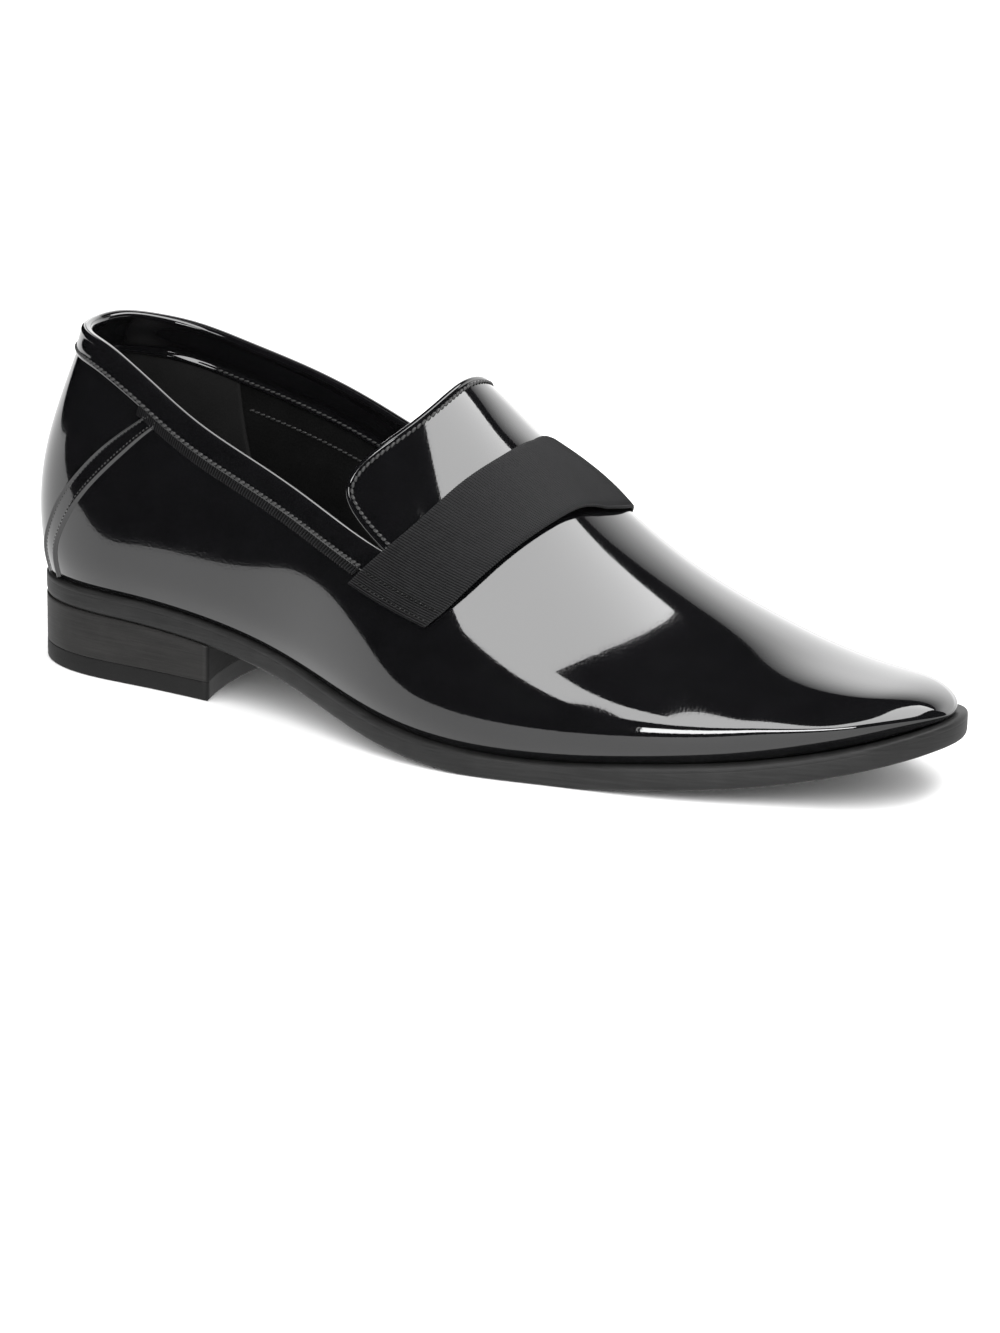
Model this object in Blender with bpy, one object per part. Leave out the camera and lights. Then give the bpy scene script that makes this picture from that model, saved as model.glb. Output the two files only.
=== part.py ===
"""A loafer for the right foot: a low leather sole with a stacked heel, one hollow upper whose vamp runs
on into the tongue, a folded collar band, two counter seams, a ribbed strap and an insole.

Heel at -X, toe at +X, outer side at -Y, up is +Z. The shoe stands on its heel and forefoot.

The upper is one function of two shares. s runs from the back seam (0) to the toe tip (1), and v from the
outer feather (-1) over the ridge (0) to the inner feather (1). The feather is the line where the upper
meets the sole. Every other piece lies at a named distance from that function.
"""
import bpy
import numpy as np

MM = 0.001

# Driving sizes. The belly is the upper's bulge over the feather. It lies BELLY_UP above it, and lower
# where the section is low: no higher than BELLY_LIMIT of the ridge.
LENGTH = 308 * MM
BALL_WIDTH = 93 * MM
INSTEP = 90 * MM
BACK_HEIGHT = 79 * MM
BACK_LEAN = 11 * MM
HEEL_HEIGHT = 21 * MM
TOE_SPRING = 18 * MM
BELLY = 2.5 * MM
BELLY_UP = 9 * MM
BELLY_LIMIT = 0.45
WALL = 1.8 * MM
CLEAR = 0.3 * MM

# Sole and heel
SOLE = 7 * MM
SOLE_EDGE_ROUND = 1.2 * MM
SOLE_EDGE_INSET = 0.7 * MM
SEAT_MARGIN = 1.4 * MM
FORE_MARGIN = 3.2 * MM
TREAD_SINK = 0.5 * MM
HEEL_LENGTH = 74 * MM
HEEL_LIFT = 6 * MM
BREAST_HOLLOW = 5 * MM

# Insole and overlays
INSOLE = 2.5 * MM
INSOLE_GAP = 0.8 * MM
INSOLE_TOE_STOP = 12 * MM
BAND_WIDTH = 8.5 * MM
BAND_THICKNESS = 0.9 * MM
BAND_STOP = 1.5 * MM
SEAM_THICKNESS = 0.8 * MM
SEAM_STOP = 1.5 * MM
STRAP_THICKNESS = 1.6 * MM
STRAP_FRONT_LIFT = 0.9 * MM

# Where the sole's margin widens, as shares of the length
MARGIN_FROM = 0.30
MARGIN_TO = 0.65

# Points closer than this are one point, and edges sharper than this are shaded sharp
WELD = 2e-3 * MM
SHARP_DEGREES = 40

# Grid counts
ROWS = 56
COLUMNS = 41
TUCK_STEPS = 20
ARCH_STEPS = 160
BACK_ROWS = 20
FORE_ROWS = 30
SIDE_COLUMNS = 8
TOP_COLUMNS = 24
SOLE_ROWS = 48
HEEL_ROWS = 18
HEEL_COLUMNS = 8
STRAP_COLUMNS = 44
STRAP_ROWS = 6
BAND_ROWS = 22
SEAM_ROWS = 18
SETTLING_STEPS = 20

# Sections along the upper. at: share of the length. mid, half and shift: shares of BALL_WIDTH, for the
# middle of the feather line, half its width, and how far the ridge leans inwards. rise and spring: shares
# of HEEL_HEIGHT and TOE_SPRING that lift the feather. ridge: share of INSTEP. side and top: how square
# the section's flank and crown are (2 is an ellipse). belly: share of BELLY.
FORM_COLUMNS = ("at", "mid", "half", "rise", "spring", "ridge", "shift", "side", "top", "belly")
FORM = np.array([
    (0.00, 0.000, 0.319, 1.010, 0.000, 1.520, 0.00, 2.2, 1.80, 1.0),
    (0.10, 0.017, 0.309, 0.990, 0.000, 1.480, 0.00, 2.4, 2.00, 1.0),
    (0.22, 0.013, 0.321, 0.885, 0.000, 1.380, 0.02, 2.5, 2.10, 0.9),
    (0.34, -0.020, 0.352, 0.610, 0.000, 1.200, 0.04, 2.4, 2.10, 0.8),
    (0.46, -0.078, 0.425, 0.230, 0.000, 1.060, 0.06, 2.2, 2.00, 0.8),
    (0.56, -0.060, 0.475, 0.030, 0.000, 0.865, 0.07, 2.1, 1.90, 0.9),
    (0.66, 0.004, 0.483, 0.000, 0.000, 0.574, 0.06, 2.2, 1.90, 1.0),
    (0.75, 0.030, 0.458, 0.000, 0.145, 0.378, 0.04, 2.3, 1.90, 1.0),
    (0.84, 0.045, 0.382, 0.000, 0.313, 0.239, 0.02, 2.4, 2.00, 0.9),
    (0.92, 0.049, 0.296, 0.000, 0.600, 0.156, 0.00, 2.3, 2.00, 0.8),
    (1.00, 0.032, 0.207, 0.000, 1.010, 0.078, 0.00, 2.1, 2.00, 0.7),
])

# The back seam from the side. up: share of BACK_HEIGHT. forward: share of BACK_LEAN.
BACK = np.array([
    (0.00, 0.00),
    (0.12, -0.20),
    (0.28, -0.28),
    (0.48, -0.10),
    (0.64, 0.25),
    (0.81, 0.72),
    (1.13, 1.55),
    (1.45, 2.00),
])

# How far along the length the plan rounds in at the back and the toe, and how fast
BACK_ROUND = 0.13
BACK_POWER = 2.3
BACK_FADE = 3.0
TOE_ROUND = 0.10
TOE_CROWN_ROUND = 0.07
TOE_POWER = 3.0

# The collar line: s, then its height on the outer and inner side as shares of BACK_HEIGHT
COLLAR = np.array([
    (0.00, 1.000, 1.000),
    (0.06, 1.000, 1.000),
    (0.12, 0.995, 0.975),
    (0.18, 0.970, 0.940),
    (0.24, 0.885, 0.895),
    (0.30, 0.770, 0.852),
    (0.36, 0.695, 0.805),
    (0.42, 0.650, 0.745),
    (0.482, 0.618, 0.690),
])

# The tongue's free edge. across: 0 at the ridge, 1 where it meets the collar line. s: where the edge lies.
TONGUE = np.array([
    (0.00, 0.482),
    (0.22, 0.480),
    (0.43, 0.470),
    (0.66, 0.450),
    (0.80, 0.440),
    (0.87, 0.440),
    (0.92, 0.447),
    (0.96, 0.461),
    (1.00, 0.482),
])

# The strap: v on either side, then s of its rear and front edges
STRAP = np.array([
    (0.000, 0.5295, 0.5730),
    (0.150, 0.5250, 0.5695),
    (0.300, 0.5125, 0.5615),
    (0.450, 0.4960, 0.5490),
    (0.565, 0.4780, 0.5365),
    (0.630, 0.4665, 0.5275),
    (0.690, 0.4560, 0.5175),
])

# The counter seam: v on either side, then s of its rear and front edges
SEAM = np.array([
    (0.580, 0.252, 0.274),
    (0.610, 0.238, 0.262),
    (0.675, 0.208, 0.239),
    (0.745, 0.180, 0.213),
    (0.820, 0.150, 0.185),
    (0.875, 0.130, 0.166),
    (0.920, 0.112, 0.151),
    (1.000, 0.092, 0.137),
])

# Colours as linear values, roughness and metallic value
LOOKS = {
    "patent": ((0.006, 0.006, 0.007), 0.05, 0.0),
    "sole_edge": ((0.030, 0.028, 0.028), 0.45, 0.0),
    "heel_stack": ((0.034, 0.032, 0.031), 0.40, 0.0),
    "heel_rubber": ((0.020, 0.019, 0.019), 0.60, 0.0),
    "grosgrain": ((0.022, 0.022, 0.023), 0.60, 0.0),
    "lining": ((0.012, 0.012, 0.012), 0.50, 0.0),
}


def spline(at, values, x):
    """Natural cubic spline through (at, values), read at x."""
    step = np.diff(at)
    slope = np.diff(values) / step
    matrix = np.zeros((len(at), len(at)))
    right = np.zeros(len(at))
    matrix[0, 0] = matrix[-1, -1] = 1
    for k in range(1, len(at) - 1):
        matrix[k, k - 1:k + 2] = step[k - 1], 2 * (step[k - 1] + step[k]), step[k]
        right[k] = 6 * (slope[k] - slope[k - 1])
    bend = np.linalg.solve(matrix, right)
    k = np.clip(np.searchsorted(at, x, side="right") - 1, 0, len(at) - 2)
    t = x - at[k]
    first = slope[k] - step[k] * (2 * bend[k] + bend[k + 1]) / 6
    return values[k] + t * first + t * t * bend[k] / 2 + t ** 3 * (bend[k + 1] - bend[k]) / (6 * step[k])


def form(name, at):
    """One column of FORM at a share of the length."""
    return spline(FORM[:, 0], FORM[:, FORM_COLUMNS.index(name)], at)


def end_round(from_end, reach, power):
    """Rises from 0 at an end to 1 at reach: sqrt(1 - (1 - from_end / reach) ** power)."""
    return np.sqrt(1 - np.clip(1 - from_end / reach, 0, 1) ** power)


def section(at):
    """One cross-section: COLUMNS points at equal steps of arc, from the outer feather to the inner."""
    toe_round = end_round(1 - at, TOE_ROUND, TOE_POWER)
    plan = end_round(at, BACK_ROUND, BACK_POWER) * toe_round
    half = BALL_WIDTH * form("half", at) * plan
    belly = BELLY * form("belly", at) * plan
    ridge = INSTEP * form("ridge", at) * end_round(1 - at, TOE_CROWN_ROUND, TOE_POWER)
    widest = min(BELLY_UP, BELLY_LIMIT * ridge)
    tuck = np.linspace(1, 0, TUCK_STEPS + 1)[:-1]
    angle = np.linspace(0, np.pi / 2, ARCH_STEPS + 1)
    arch = (half + belly) * np.cos(angle) ** (2 / form("side", at))
    out = np.concatenate([half + belly * (1 - tuck ** 2), arch])
    crown = widest + (ridge - widest) * np.sin(angle) ** (2 / form("top", at))
    up = np.concatenate([widest * (1 - tuck), crown])
    lean = BALL_WIDTH * form("shift", at) * (up / max(ridge, 1e-9)) ** 2
    flanks = []
    for side in (-1, 1):
        y = BALL_WIDTH * form("mid", at) + side * out + lean
        run = np.concatenate([[0], np.cumsum(np.hypot(np.diff(y), np.diff(up)))])
        want = np.linspace(0, run[-1], COLUMNS // 2 + 1)
        flanks.append(np.stack([np.interp(want, run, y), np.interp(want, run, up)], 1))
    y, z = np.concatenate([flanks[0], flanks[1][::-1][1:]]).T
    seam_line = spline(BACK[:, 0], BACK[:, 1], np.clip(z / BACK_HEIGHT, 0, BACK[-1, 0]))
    along = SEAT_MARGIN + (LENGTH - SEAT_MARGIN - FORE_MARGIN) * at
    x = along + BACK_LEAN * seam_line * (1 - at) ** BACK_FADE
    feather = SOLE + HEEL_HEIGHT * form("rise", at) + TOE_SPRING * form("spring", at)
    return np.stack([x, y, feather + z], 1)


def control_net():
    """The sections as a net of B-spline control points, carried on past its four edges.

    Behind the back seam the net mirrors the two sides, past the toe tip it turns half round X."""
    share = (1 - np.cos(np.pi * np.linspace(0, 1, ROWS))) / 2
    rows = np.stack([section(at) for at in share])
    behind = rows[1:3][::-1, ::-1]
    ahead = rows[-3:-1][::-1, ::-1].copy()
    ahead[..., 2] = 2 * rows[-1:, :, 2] - ahead[..., 2]
    rows = np.concatenate([behind, rows, ahead])
    outer = 2 * rows[:, :1] - rows[:, 2:0:-1]
    inner = 2 * rows[:, -1:] - rows[:, -2:-4:-1]
    return np.concatenate([outer, rows, inner], 1)


def weights(t):
    """The four cubic B-spline weights at t between two control points."""
    second = 3 * t ** 3 - 6 * t ** 2 + 4
    third = -3 * t ** 3 + 3 * t ** 2 + 3 * t + 1
    return np.stack([(1 - t) ** 3, second, third, t ** 3], -1) / 6


NET = control_net()


def surface(s, v):
    """The upper's outer face at s and v: a uniform bicubic B-spline over NET."""
    s, v = np.broadcast_arrays(np.asarray(s, float), np.asarray(v, float))
    row = s * (ROWS - 1) + 2
    col = (v + 1) / 2 * (COLUMNS - 1) + 2
    i = np.clip(np.floor(row).astype(int), 1, NET.shape[0] - 3)
    j = np.clip(np.floor(col).astype(int), 1, NET.shape[1] - 3)
    across = weights(row - i)
    around = weights(col - j)
    point = np.zeros(s.shape + (3,))
    for m in range(4):
        for n in range(4):
            point += (across[..., m] * around[..., n])[..., None] * NET[i + m - 1, j + n - 1]
    return point


def outward(s, v):
    """Unit normal of the upper. At the feather it lies level, so that the wall ends on the sole, and on the
    back seam it has no part sideways, so that both sides share it."""
    s, v = np.broadcast_arrays(np.asarray(s, float), np.asarray(v, float))
    step = 1e-3
    along = surface(np.minimum(s + step, 1), v) - surface(np.maximum(s - step, 0), v)
    around = surface(s, np.minimum(v + step, 1)) - surface(s, np.maximum(v - step, -1))
    normal = np.cross(along, around)
    normal[np.abs(v) > 1 - 1e-6, 2] = 0
    normal[s < 1e-6, 1] = 0
    normal[s > 1 - 1e-6] = (1, 0, 0)
    return normal / np.linalg.norm(normal, axis=-1, keepdims=True)


def s_per_length(s):
    """How much s changes for a unit of length along the shoe."""
    return 2 / (np.pi * LENGTH * np.sin(np.pi * s))


def girth(s, side):
    """Arc length of one flank from the ridge to the feather."""
    path = surface(np.asarray(s)[..., None], np.linspace(0, side, 40))
    return np.linalg.norm(np.diff(path, axis=-2), axis=-1).sum(-1)


def collar(s, side):
    """|v| of the collar line: where the section reaches the collar's height."""
    s = np.asarray(s, float)
    height = BACK_HEIGHT * spline(COLLAR[:, 0], COLLAR[:, 1 if side < 0 else 2], s)
    v = np.linspace(1, 0.1, 90)
    path = surface(s[..., None], side * v)[..., 2]
    up = path - path[..., :1]
    rows = zip(height.ravel(), up.reshape(-1, len(v)))
    return np.array([np.interp(h, z, v) for h, z in rows]).reshape(s.shape)


def band_foot(s, side):
    """|v| of the collar band's lower edge."""
    return collar(s, side) + BAND_WIDTH / girth(s, side)


def weld(points):
    """The index of each point among the distinct points, and how many of these there are."""
    known = {}
    cells = np.round(points / WELD).astype(int)
    return np.array([known.setdefault(tuple(cell), len(known)) for cell in cells]), len(known)


def welded_faces(faces, index):
    """Faces over the distinct points, without repeated corners and without faces that vanish."""
    kept = []
    for face in faces:
        corners = [index[corner] for corner in face]
        corners = [corner for k, corner in enumerate(corners) if corner != corners[k - 1]]
        if len(set(corners)) > 2:
            kept.append(corners)
    return kept


def solid(name, look, points, faces):
    """A mesh object with coincident points welded and one material, parented to the shoe."""
    index, count = weld(points)
    distinct = np.zeros((count, 3))
    distinct[index] = points
    mesh = bpy.data.meshes.new(name)
    mesh.from_pydata(distinct.tolist(), [], welded_faces(faces, index))
    mesh.shade_smooth()
    mesh.set_sharp_from_angle(angle=np.radians(SHARP_DEGREES))
    mesh.materials.append(material(look))
    piece = bpy.data.objects.new(name, mesh)
    bpy.context.collection.objects.link(piece)
    piece.parent = SHOE


def double_sheet(name, look, outer, inner, faces):
    """The closed body between an outer and an inner sheet that share their faces."""
    index, count = weld(outer)
    uses = np.bincount(index, minlength=count)[:, None]
    high = np.zeros((count, 3))
    low = np.zeros((count, 3))
    np.add.at(high, index, outer)
    np.add.at(low, index, inner)
    sheet = welded_faces(faces, index)
    edges = {(face[k - 1], face[k]) for face in sheet for k in range(len(face))}
    rim = sorted(edge for edge in edges if edge[::-1] not in edges)
    under = [[corner + count for corner in face[::-1]] for face in sheet]
    walls = [[b, a, a + count, b + count] for a, b in rim]
    solid(name, look, np.concatenate([high / uses, low / uses]), sheet + under + walls)


def grid_faces(rows, cols, start=0):
    """Quads over a grid of points stored row by row."""
    corner = np.arange(rows * cols).reshape(rows, cols) + start
    quads = np.stack([corner[:-1, :-1], corner[1:, :-1], corner[1:, 1:], corner[:-1, 1:]], -1)
    return quads.reshape(-1, 4).tolist()


def shell(name, look, patches, low, high):
    """A wall that follows the upper between the offsets low and high, over one or more (s, v) patches."""
    outer, inner, faces = [], [], []
    start = 0
    for s, v in patches:
        point = surface(s, v).reshape(-1, 3)
        normal = outward(s, v).reshape(-1, 3)
        outer.append(point + normal * np.broadcast_to(high, s.shape).reshape(-1, 1))
        inner.append(point + normal * np.broadcast_to(low, s.shape).reshape(-1, 1))
        faces += grid_faces(*s.shape, start)
        start += s.size
    double_sheet(name, look, np.concatenate(outer), np.concatenate(inner), faces)


def material(look):
    """A plain Principled material, made once."""
    if look in bpy.data.materials:
        return bpy.data.materials[look]
    colour, roughness, metallic = LOOKS[look]
    made = bpy.data.materials.new(look)
    made.use_nodes = True
    shader = made.node_tree.nodes["Principled BSDF"]
    shader.inputs["Base Color"].default_value = (*colour, 1)
    shader.inputs["Roughness"].default_value = roughness
    shader.inputs["Metallic"].default_value = metallic
    return made


def upper():
    """Quarters from the collar line to the feather, then the vamp, whose rear edge is the tongue's."""
    throat = TONGUE[-1, 1]
    back_s = throat * np.linspace(0, 1, BACK_ROWS + 1)
    fore_s = np.linspace(throat, 1, FORE_ROWS + 1)
    down = np.linspace(0, 1, SIDE_COLUMNS + 1)
    patches = []
    for side in (-1, 1):
        notch = float(collar(throat, side))
        for s in (back_s, fore_s):
            edge = collar(s, side) if s is back_s else np.full(len(s), notch)
            v = side * (edge[:, None] + (1 - edge[:, None]) * down)
            order = slice(None, None, -1) if side < 0 else slice(None)
            patches.append((np.broadcast_to(s[:, None], v.shape), v[:, order]))
    reach = [float(collar(throat, side)) for side in (-1, 1)]
    even = np.linspace(-1, 1, TOP_COLUMNS + 1)
    across = (even + np.sin(even * np.pi / 2)) / 2
    v = np.where(across < 0, across * reach[0], across * reach[1])
    tongue_edge = spline(TONGUE[:, 0], TONGUE[:, 1], np.abs(across))
    step = (fore_s - throat) / (1 - throat)
    s = tongue_edge + step[:, None] * (1 - tongue_edge)
    patches.append((s, np.broadcast_to(v, s.shape)))
    shell("upper", "patent", patches, -WALL, 0)


def band_v(s, side, down):
    """|v| across the collar band, from the collar line (down 0) to its lower edge (down 1)."""
    top = collar(s, side)
    return top + (band_foot(s, side) - top) * down


def collar_band():
    """The folded band round the collar. Both ends stop just short of the strap's rear edge."""
    down = np.linspace(0, 1, 3)
    patches = []
    for side in (-1, 1):
        stop = np.full(3, TONGUE[-1, 1])
        for _ in range(SETTLING_STEPS):
            stop = edge_mix(STRAP, band_v(stop, side, down), 0) - BAND_STOP * s_per_length(stop)
        s = stop * np.linspace(0, 1, BAND_ROWS + 1)[:, None]
        v = side * band_v(s, side, down)
        order = slice(None, None, -1) if side < 0 else slice(None)
        patches.append((s[:, order], v[:, order]))
    shell("collar_band", "patent", patches, CLEAR, CLEAR + BAND_THICKNESS)


def counter_seam(name, side):
    """The raised seam from the collar band down to the feather, one on each side of the heel."""
    across = np.linspace(0, 1, 3)
    start = np.full(3, STRAP[-1, 0])
    for _ in range(SETTLING_STEPS):
        s = edge_mix(SEAM, start, across)
        start = band_foot(s, side) + SEAM_STOP / girth(s, side)
    finish = 1 - SEAM_STOP / girth(s, side)
    v = start + (finish - start) * np.linspace(0, 1, SEAM_ROWS + 1)[:, None]
    s = edge_mix(SEAM, v, across)
    v = side * v
    if side > 0:
        s, v = s[::-1], v[::-1]
    shell(name, "patent", [(s, v)], CLEAR, CLEAR + SEAM_THICKNESS)


def edge_mix(table, v, across):
    """s between the rear (0) and front (1) edges of a table, at |v|."""
    rear = spline(table[:, 0], table[:, 1], v)
    front = spline(table[:, 0], table[:, 2], v)
    return rear + (front - rear) * across


def strap():
    """The ribbed strap over the vamp. Its front edge stands off the vamp a little."""
    v = STRAP[-1, 0] * np.linspace(-1, 1, STRAP_COLUMNS + 1)
    across = np.linspace(0, 1, STRAP_ROWS + 1)[:, None]
    s = edge_mix(STRAP, np.abs(v), across)
    v = np.broadcast_to(v, s.shape)
    low = CLEAR + STRAP_FRONT_LIFT * np.broadcast_to(across ** 2, s.shape)
    shell("strap", "grosgrain", [(s, v)], low, low + STRAP_THICKNESS)


def margin(s):
    """How far the sole stands out past the feather: SEAT_MARGIN at the heel, FORE_MARGIN at the forepart."""
    at = (1 - np.cos(np.pi * s)) / 2
    blend = np.clip((at - MARGIN_FROM) / (MARGIN_TO - MARGIN_FROM), 0, 1)
    return SEAT_MARGIN + (FORE_MARGIN - SEAT_MARGIN) * blend * blend * (3 - 2 * blend)


def plan_grid(s, grow, columns=2):
    """Rows across the shoe between the feather lines, each line moved outwards in plan by grow."""
    lines = []
    for side in (-1.0, 1.0):
        lines.append(surface(s, side) + outward(s, side) * np.broadcast_to(grow, s.shape)[:, None])
    outer, inner = lines
    for end in (0, -1):
        if s[end] in (0, 1):
            outer[end] = inner[end] = (outer[end] + inner[end]) / 2
    across = np.linspace(0, 1, columns)[:, None]
    return outer[:, None] + (inner - outer)[:, None] * across


def slab(name, look, rings):
    """A closed body through rings, from the top to the bottom. Each ring is a grid of rows across the shoe:
    the first is the top face, the last the bottom face, and the outlines of all of them make the wall."""
    rows, columns = rings[0].shape[:2]
    size = rows * columns
    corner = np.arange(size).reshape(rows, columns)
    loop = np.concatenate([corner[:, 0], corner[-1, 1:], corner[-2::-1, -1], corner[0, -2:0:-1]])
    faces = grid_faces(rows, columns)
    faces += [face[::-1] for face in grid_faces(rows, columns, size * (len(rings) - 1))]
    for k in range(len(rings) - 1):
        above = loop + k * size
        below = above + size
        faces += np.stack([above, below, np.roll(below, -1), np.roll(above, -1)], 1).tolist()
    return solid(name, look, np.concatenate([ring.reshape(-1, 3) for ring in rings]), faces)


def lowered(grid, height):
    """A grid with its heights replaced."""
    flat = grid.copy()
    flat[..., 2] = height
    return flat


def sole_bottom(height):
    """The sole's lower face below the feather, pressed flat where the forefoot treads."""
    return np.maximum(height - SOLE - TREAD_SINK, 0)


def outsole():
    """The sole: its outline stands out past the feather, and its edge is rounded above and below."""
    s = np.linspace(0, 1, SOLE_ROWS + 1)
    inset = plan_grid(s, margin(s) - SOLE_EDGE_INSET)
    full = plan_grid(s, margin(s))
    top = full[..., 2] - CLEAR
    bottom = sole_bottom(full[..., 2])
    rings = [lowered(inset, top), lowered(full, top - SOLE_EDGE_ROUND)]
    rings += [lowered(full, bottom + SOLE_EDGE_ROUND), lowered(inset, bottom)]
    slab("outsole", "sole_edge", rings)


def heel_rows():
    """Values of s for the heel's rows, which end where the outer corner of the breast lies."""
    s = np.linspace(0, 0.5, 200)
    breast = np.interp(HEEL_LENGTH, surface(s, -1.0)[:, 0], s)
    return breast * np.linspace(0, 1, HEEL_ROWS + 1)


def heel_grid():
    """The heel's outline as a grid. Its front, the breast, is hollow."""
    s = heel_rows()
    grid = plan_grid(s, margin(s), HEEL_COLUMNS + 1)
    bow = 1 - np.linspace(-1, 1, HEEL_COLUMNS + 1) ** 2
    grid[..., 0] -= BREAST_HOLLOW * bow * np.linspace(0, 1, HEEL_ROWS + 1)[:, None] ** 2
    return grid


def heel():
    """The stacked heel under the sole's seat, and the rubber lift that treads the floor."""
    grid = heel_grid()
    line = surface(np.linspace(0, 1, 400), -1.0)
    seat = sole_bottom(np.interp(grid[..., 0], line[:, 0], line[:, 2])) - CLEAR
    slab("heel_stack", "heel_stack", [lowered(grid, seat), lowered(grid, HEEL_LIFT + CLEAR)])
    slab("heel_lift", "heel_rubber", [lowered(grid, HEEL_LIFT), lowered(grid, 0)])


def insole():
    """The sock on the sole, inside the upper's wall. It stops where the toe gets too low for it."""
    shares = np.linspace(0, 1, 400)
    line = surface(shares, 0.0)[:, 0]
    stop = np.interp(LENGTH - FORE_MARGIN - INSOLE_TOE_STOP, line, shares)
    s = stop * np.linspace(0, 1, SOLE_ROWS + 1)
    grid = plan_grid(s, -WALL - INSOLE_GAP)
    slab("insole", "lining", [lowered(grid, grid[..., 2] + INSOLE), grid])


def stand():
    """Puts the middle of the shoe's box over the world's origin, with the tread on the floor."""
    bpy.context.view_layer.update()
    points = [piece.matrix_world @ vertex.co for piece in SHOE.children for vertex in piece.data.vertices]
    points = np.array([tuple(point) for point in points])
    middle = (points.min(0) + points.max(0)) / 2
    SHOE.location = (-middle[0], -middle[1], 0)


for old in list(bpy.data.objects):
    bpy.data.objects.remove(old, do_unlink=True)
SHOE = bpy.data.objects.new("shoe", None)
bpy.context.collection.objects.link(SHOE)

outsole()
heel()
upper()
insole()
collar_band()
counter_seam("counter_outer", -1)
counter_seam("counter_inner", 1)
strap()
stand()
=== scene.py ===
# %% [markdown]
# # Dressing a patent leather loafer
#
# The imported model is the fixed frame: nine plain solids that say where everything is. This lesson gives each
# of them its looks. Patent leather is black leather under a clear varnish, so almost all that the eye sees of
# it is the studio, mirrored in its curves. That is why the shape has to be smooth and true, why edges and
# seams get real relief, and why the lights get as much care as the leather.

# %% Load the frame
import bmesh
import bpy
import numpy as np
from mathutils import Matrix, Vector


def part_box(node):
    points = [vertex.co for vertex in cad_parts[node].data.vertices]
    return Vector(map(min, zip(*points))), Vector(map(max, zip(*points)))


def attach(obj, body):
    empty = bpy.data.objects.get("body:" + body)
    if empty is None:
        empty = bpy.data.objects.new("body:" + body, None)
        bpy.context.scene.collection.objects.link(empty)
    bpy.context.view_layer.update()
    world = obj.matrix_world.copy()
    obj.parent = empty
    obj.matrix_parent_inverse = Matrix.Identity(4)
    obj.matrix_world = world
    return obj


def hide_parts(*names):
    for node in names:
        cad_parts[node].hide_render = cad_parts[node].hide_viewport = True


MM = 0.001
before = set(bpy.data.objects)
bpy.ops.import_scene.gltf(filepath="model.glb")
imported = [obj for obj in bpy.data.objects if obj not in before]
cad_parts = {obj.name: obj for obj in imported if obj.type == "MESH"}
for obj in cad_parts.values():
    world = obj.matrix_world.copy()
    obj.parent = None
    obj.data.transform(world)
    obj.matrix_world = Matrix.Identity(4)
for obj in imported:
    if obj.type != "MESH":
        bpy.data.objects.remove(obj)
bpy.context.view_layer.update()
print("CAD nodes:", sorted(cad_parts))

# %% [markdown]
# ## The form
#
# A shoemaker cuts every piece of the upper from one last. Here the last is one function of two shares: s runs
# from the back seam (0) to the toe tip (1), v from the outer feather (-1) over the ridge (0) to the inner
# feather (1). The sizes and tables are those of the CAD source, so each new piece lands on its solid. The
# alternative, sculpting over the solids, would drift from them.

# %% Driving sizes
LENGTH = 308 * MM
BALL_WIDTH = 93 * MM
INSTEP = 90 * MM
BACK_HEIGHT = 79 * MM
BACK_LEAN = 11 * MM
HEEL_HEIGHT = 21 * MM
TOE_SPRING = 18 * MM
BELLY = 2.5 * MM
BELLY_UP = 9 * MM
BELLY_LIMIT = 0.45
WALL = 1.8 * MM
CLEAR = 0.3 * MM
SOLE = 7 * MM
SEAT_MARGIN = 1.4 * MM
FORE_MARGIN = 3.2 * MM
TREAD_SINK = 0.5 * MM
HEEL_LENGTH = 74 * MM
HEEL_LIFT = 6 * MM
BREAST_HOLLOW = 5 * MM
INSOLE = 2.5 * MM
INSOLE_GAP = 0.8 * MM
INSOLE_TOE_STOP = 12 * MM
STRAP_FRONT_LIFT = 0.9 * MM
MARGIN_FROM = 0.30
MARGIN_TO = 0.65
BACK_ROUND = 0.13
BACK_POWER = 2.3
BACK_FADE = 3.0
TOE_ROUND = 0.10
TOE_CROWN_ROUND = 0.07
TOE_POWER = 3.0
ROWS = 56
COLUMNS = 41
TUCK_STEPS = 20
ARCH_STEPS = 160
SIDES = ((-1, "outer"), (1, "inner"))
print("length and ball width in mm:", round(LENGTH / MM), round(BALL_WIDTH / MM))

# %% Tables of the form
# Sections along the upper, as shares of the driving sizes
FORM_COLUMNS = ("at", "mid", "half", "rise", "spring", "ridge", "shift", "side", "top", "belly")
FORM = np.array([
    (0.00, 0.000, 0.319, 1.010, 0.000, 1.520, 0.00, 2.2, 1.80, 1.0),
    (0.10, 0.017, 0.309, 0.990, 0.000, 1.480, 0.00, 2.4, 2.00, 1.0),
    (0.22, 0.013, 0.321, 0.885, 0.000, 1.380, 0.02, 2.5, 2.10, 0.9),
    (0.34, -0.020, 0.352, 0.610, 0.000, 1.200, 0.04, 2.4, 2.10, 0.8),
    (0.46, -0.078, 0.425, 0.230, 0.000, 1.060, 0.06, 2.2, 2.00, 0.8),
    (0.56, -0.060, 0.475, 0.030, 0.000, 0.865, 0.07, 2.1, 1.90, 0.9),
    (0.66, 0.004, 0.483, 0.000, 0.000, 0.574, 0.06, 2.2, 1.90, 1.0),
    (0.75, 0.030, 0.458, 0.000, 0.145, 0.378, 0.04, 2.3, 1.90, 1.0),
    (0.84, 0.045, 0.382, 0.000, 0.313, 0.239, 0.02, 2.4, 2.00, 0.9),
    (0.92, 0.049, 0.296, 0.000, 0.600, 0.156, 0.00, 2.3, 2.00, 0.8),
    (1.00, 0.032, 0.207, 0.000, 1.010, 0.078, 0.00, 2.1, 2.00, 0.7),
])
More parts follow.
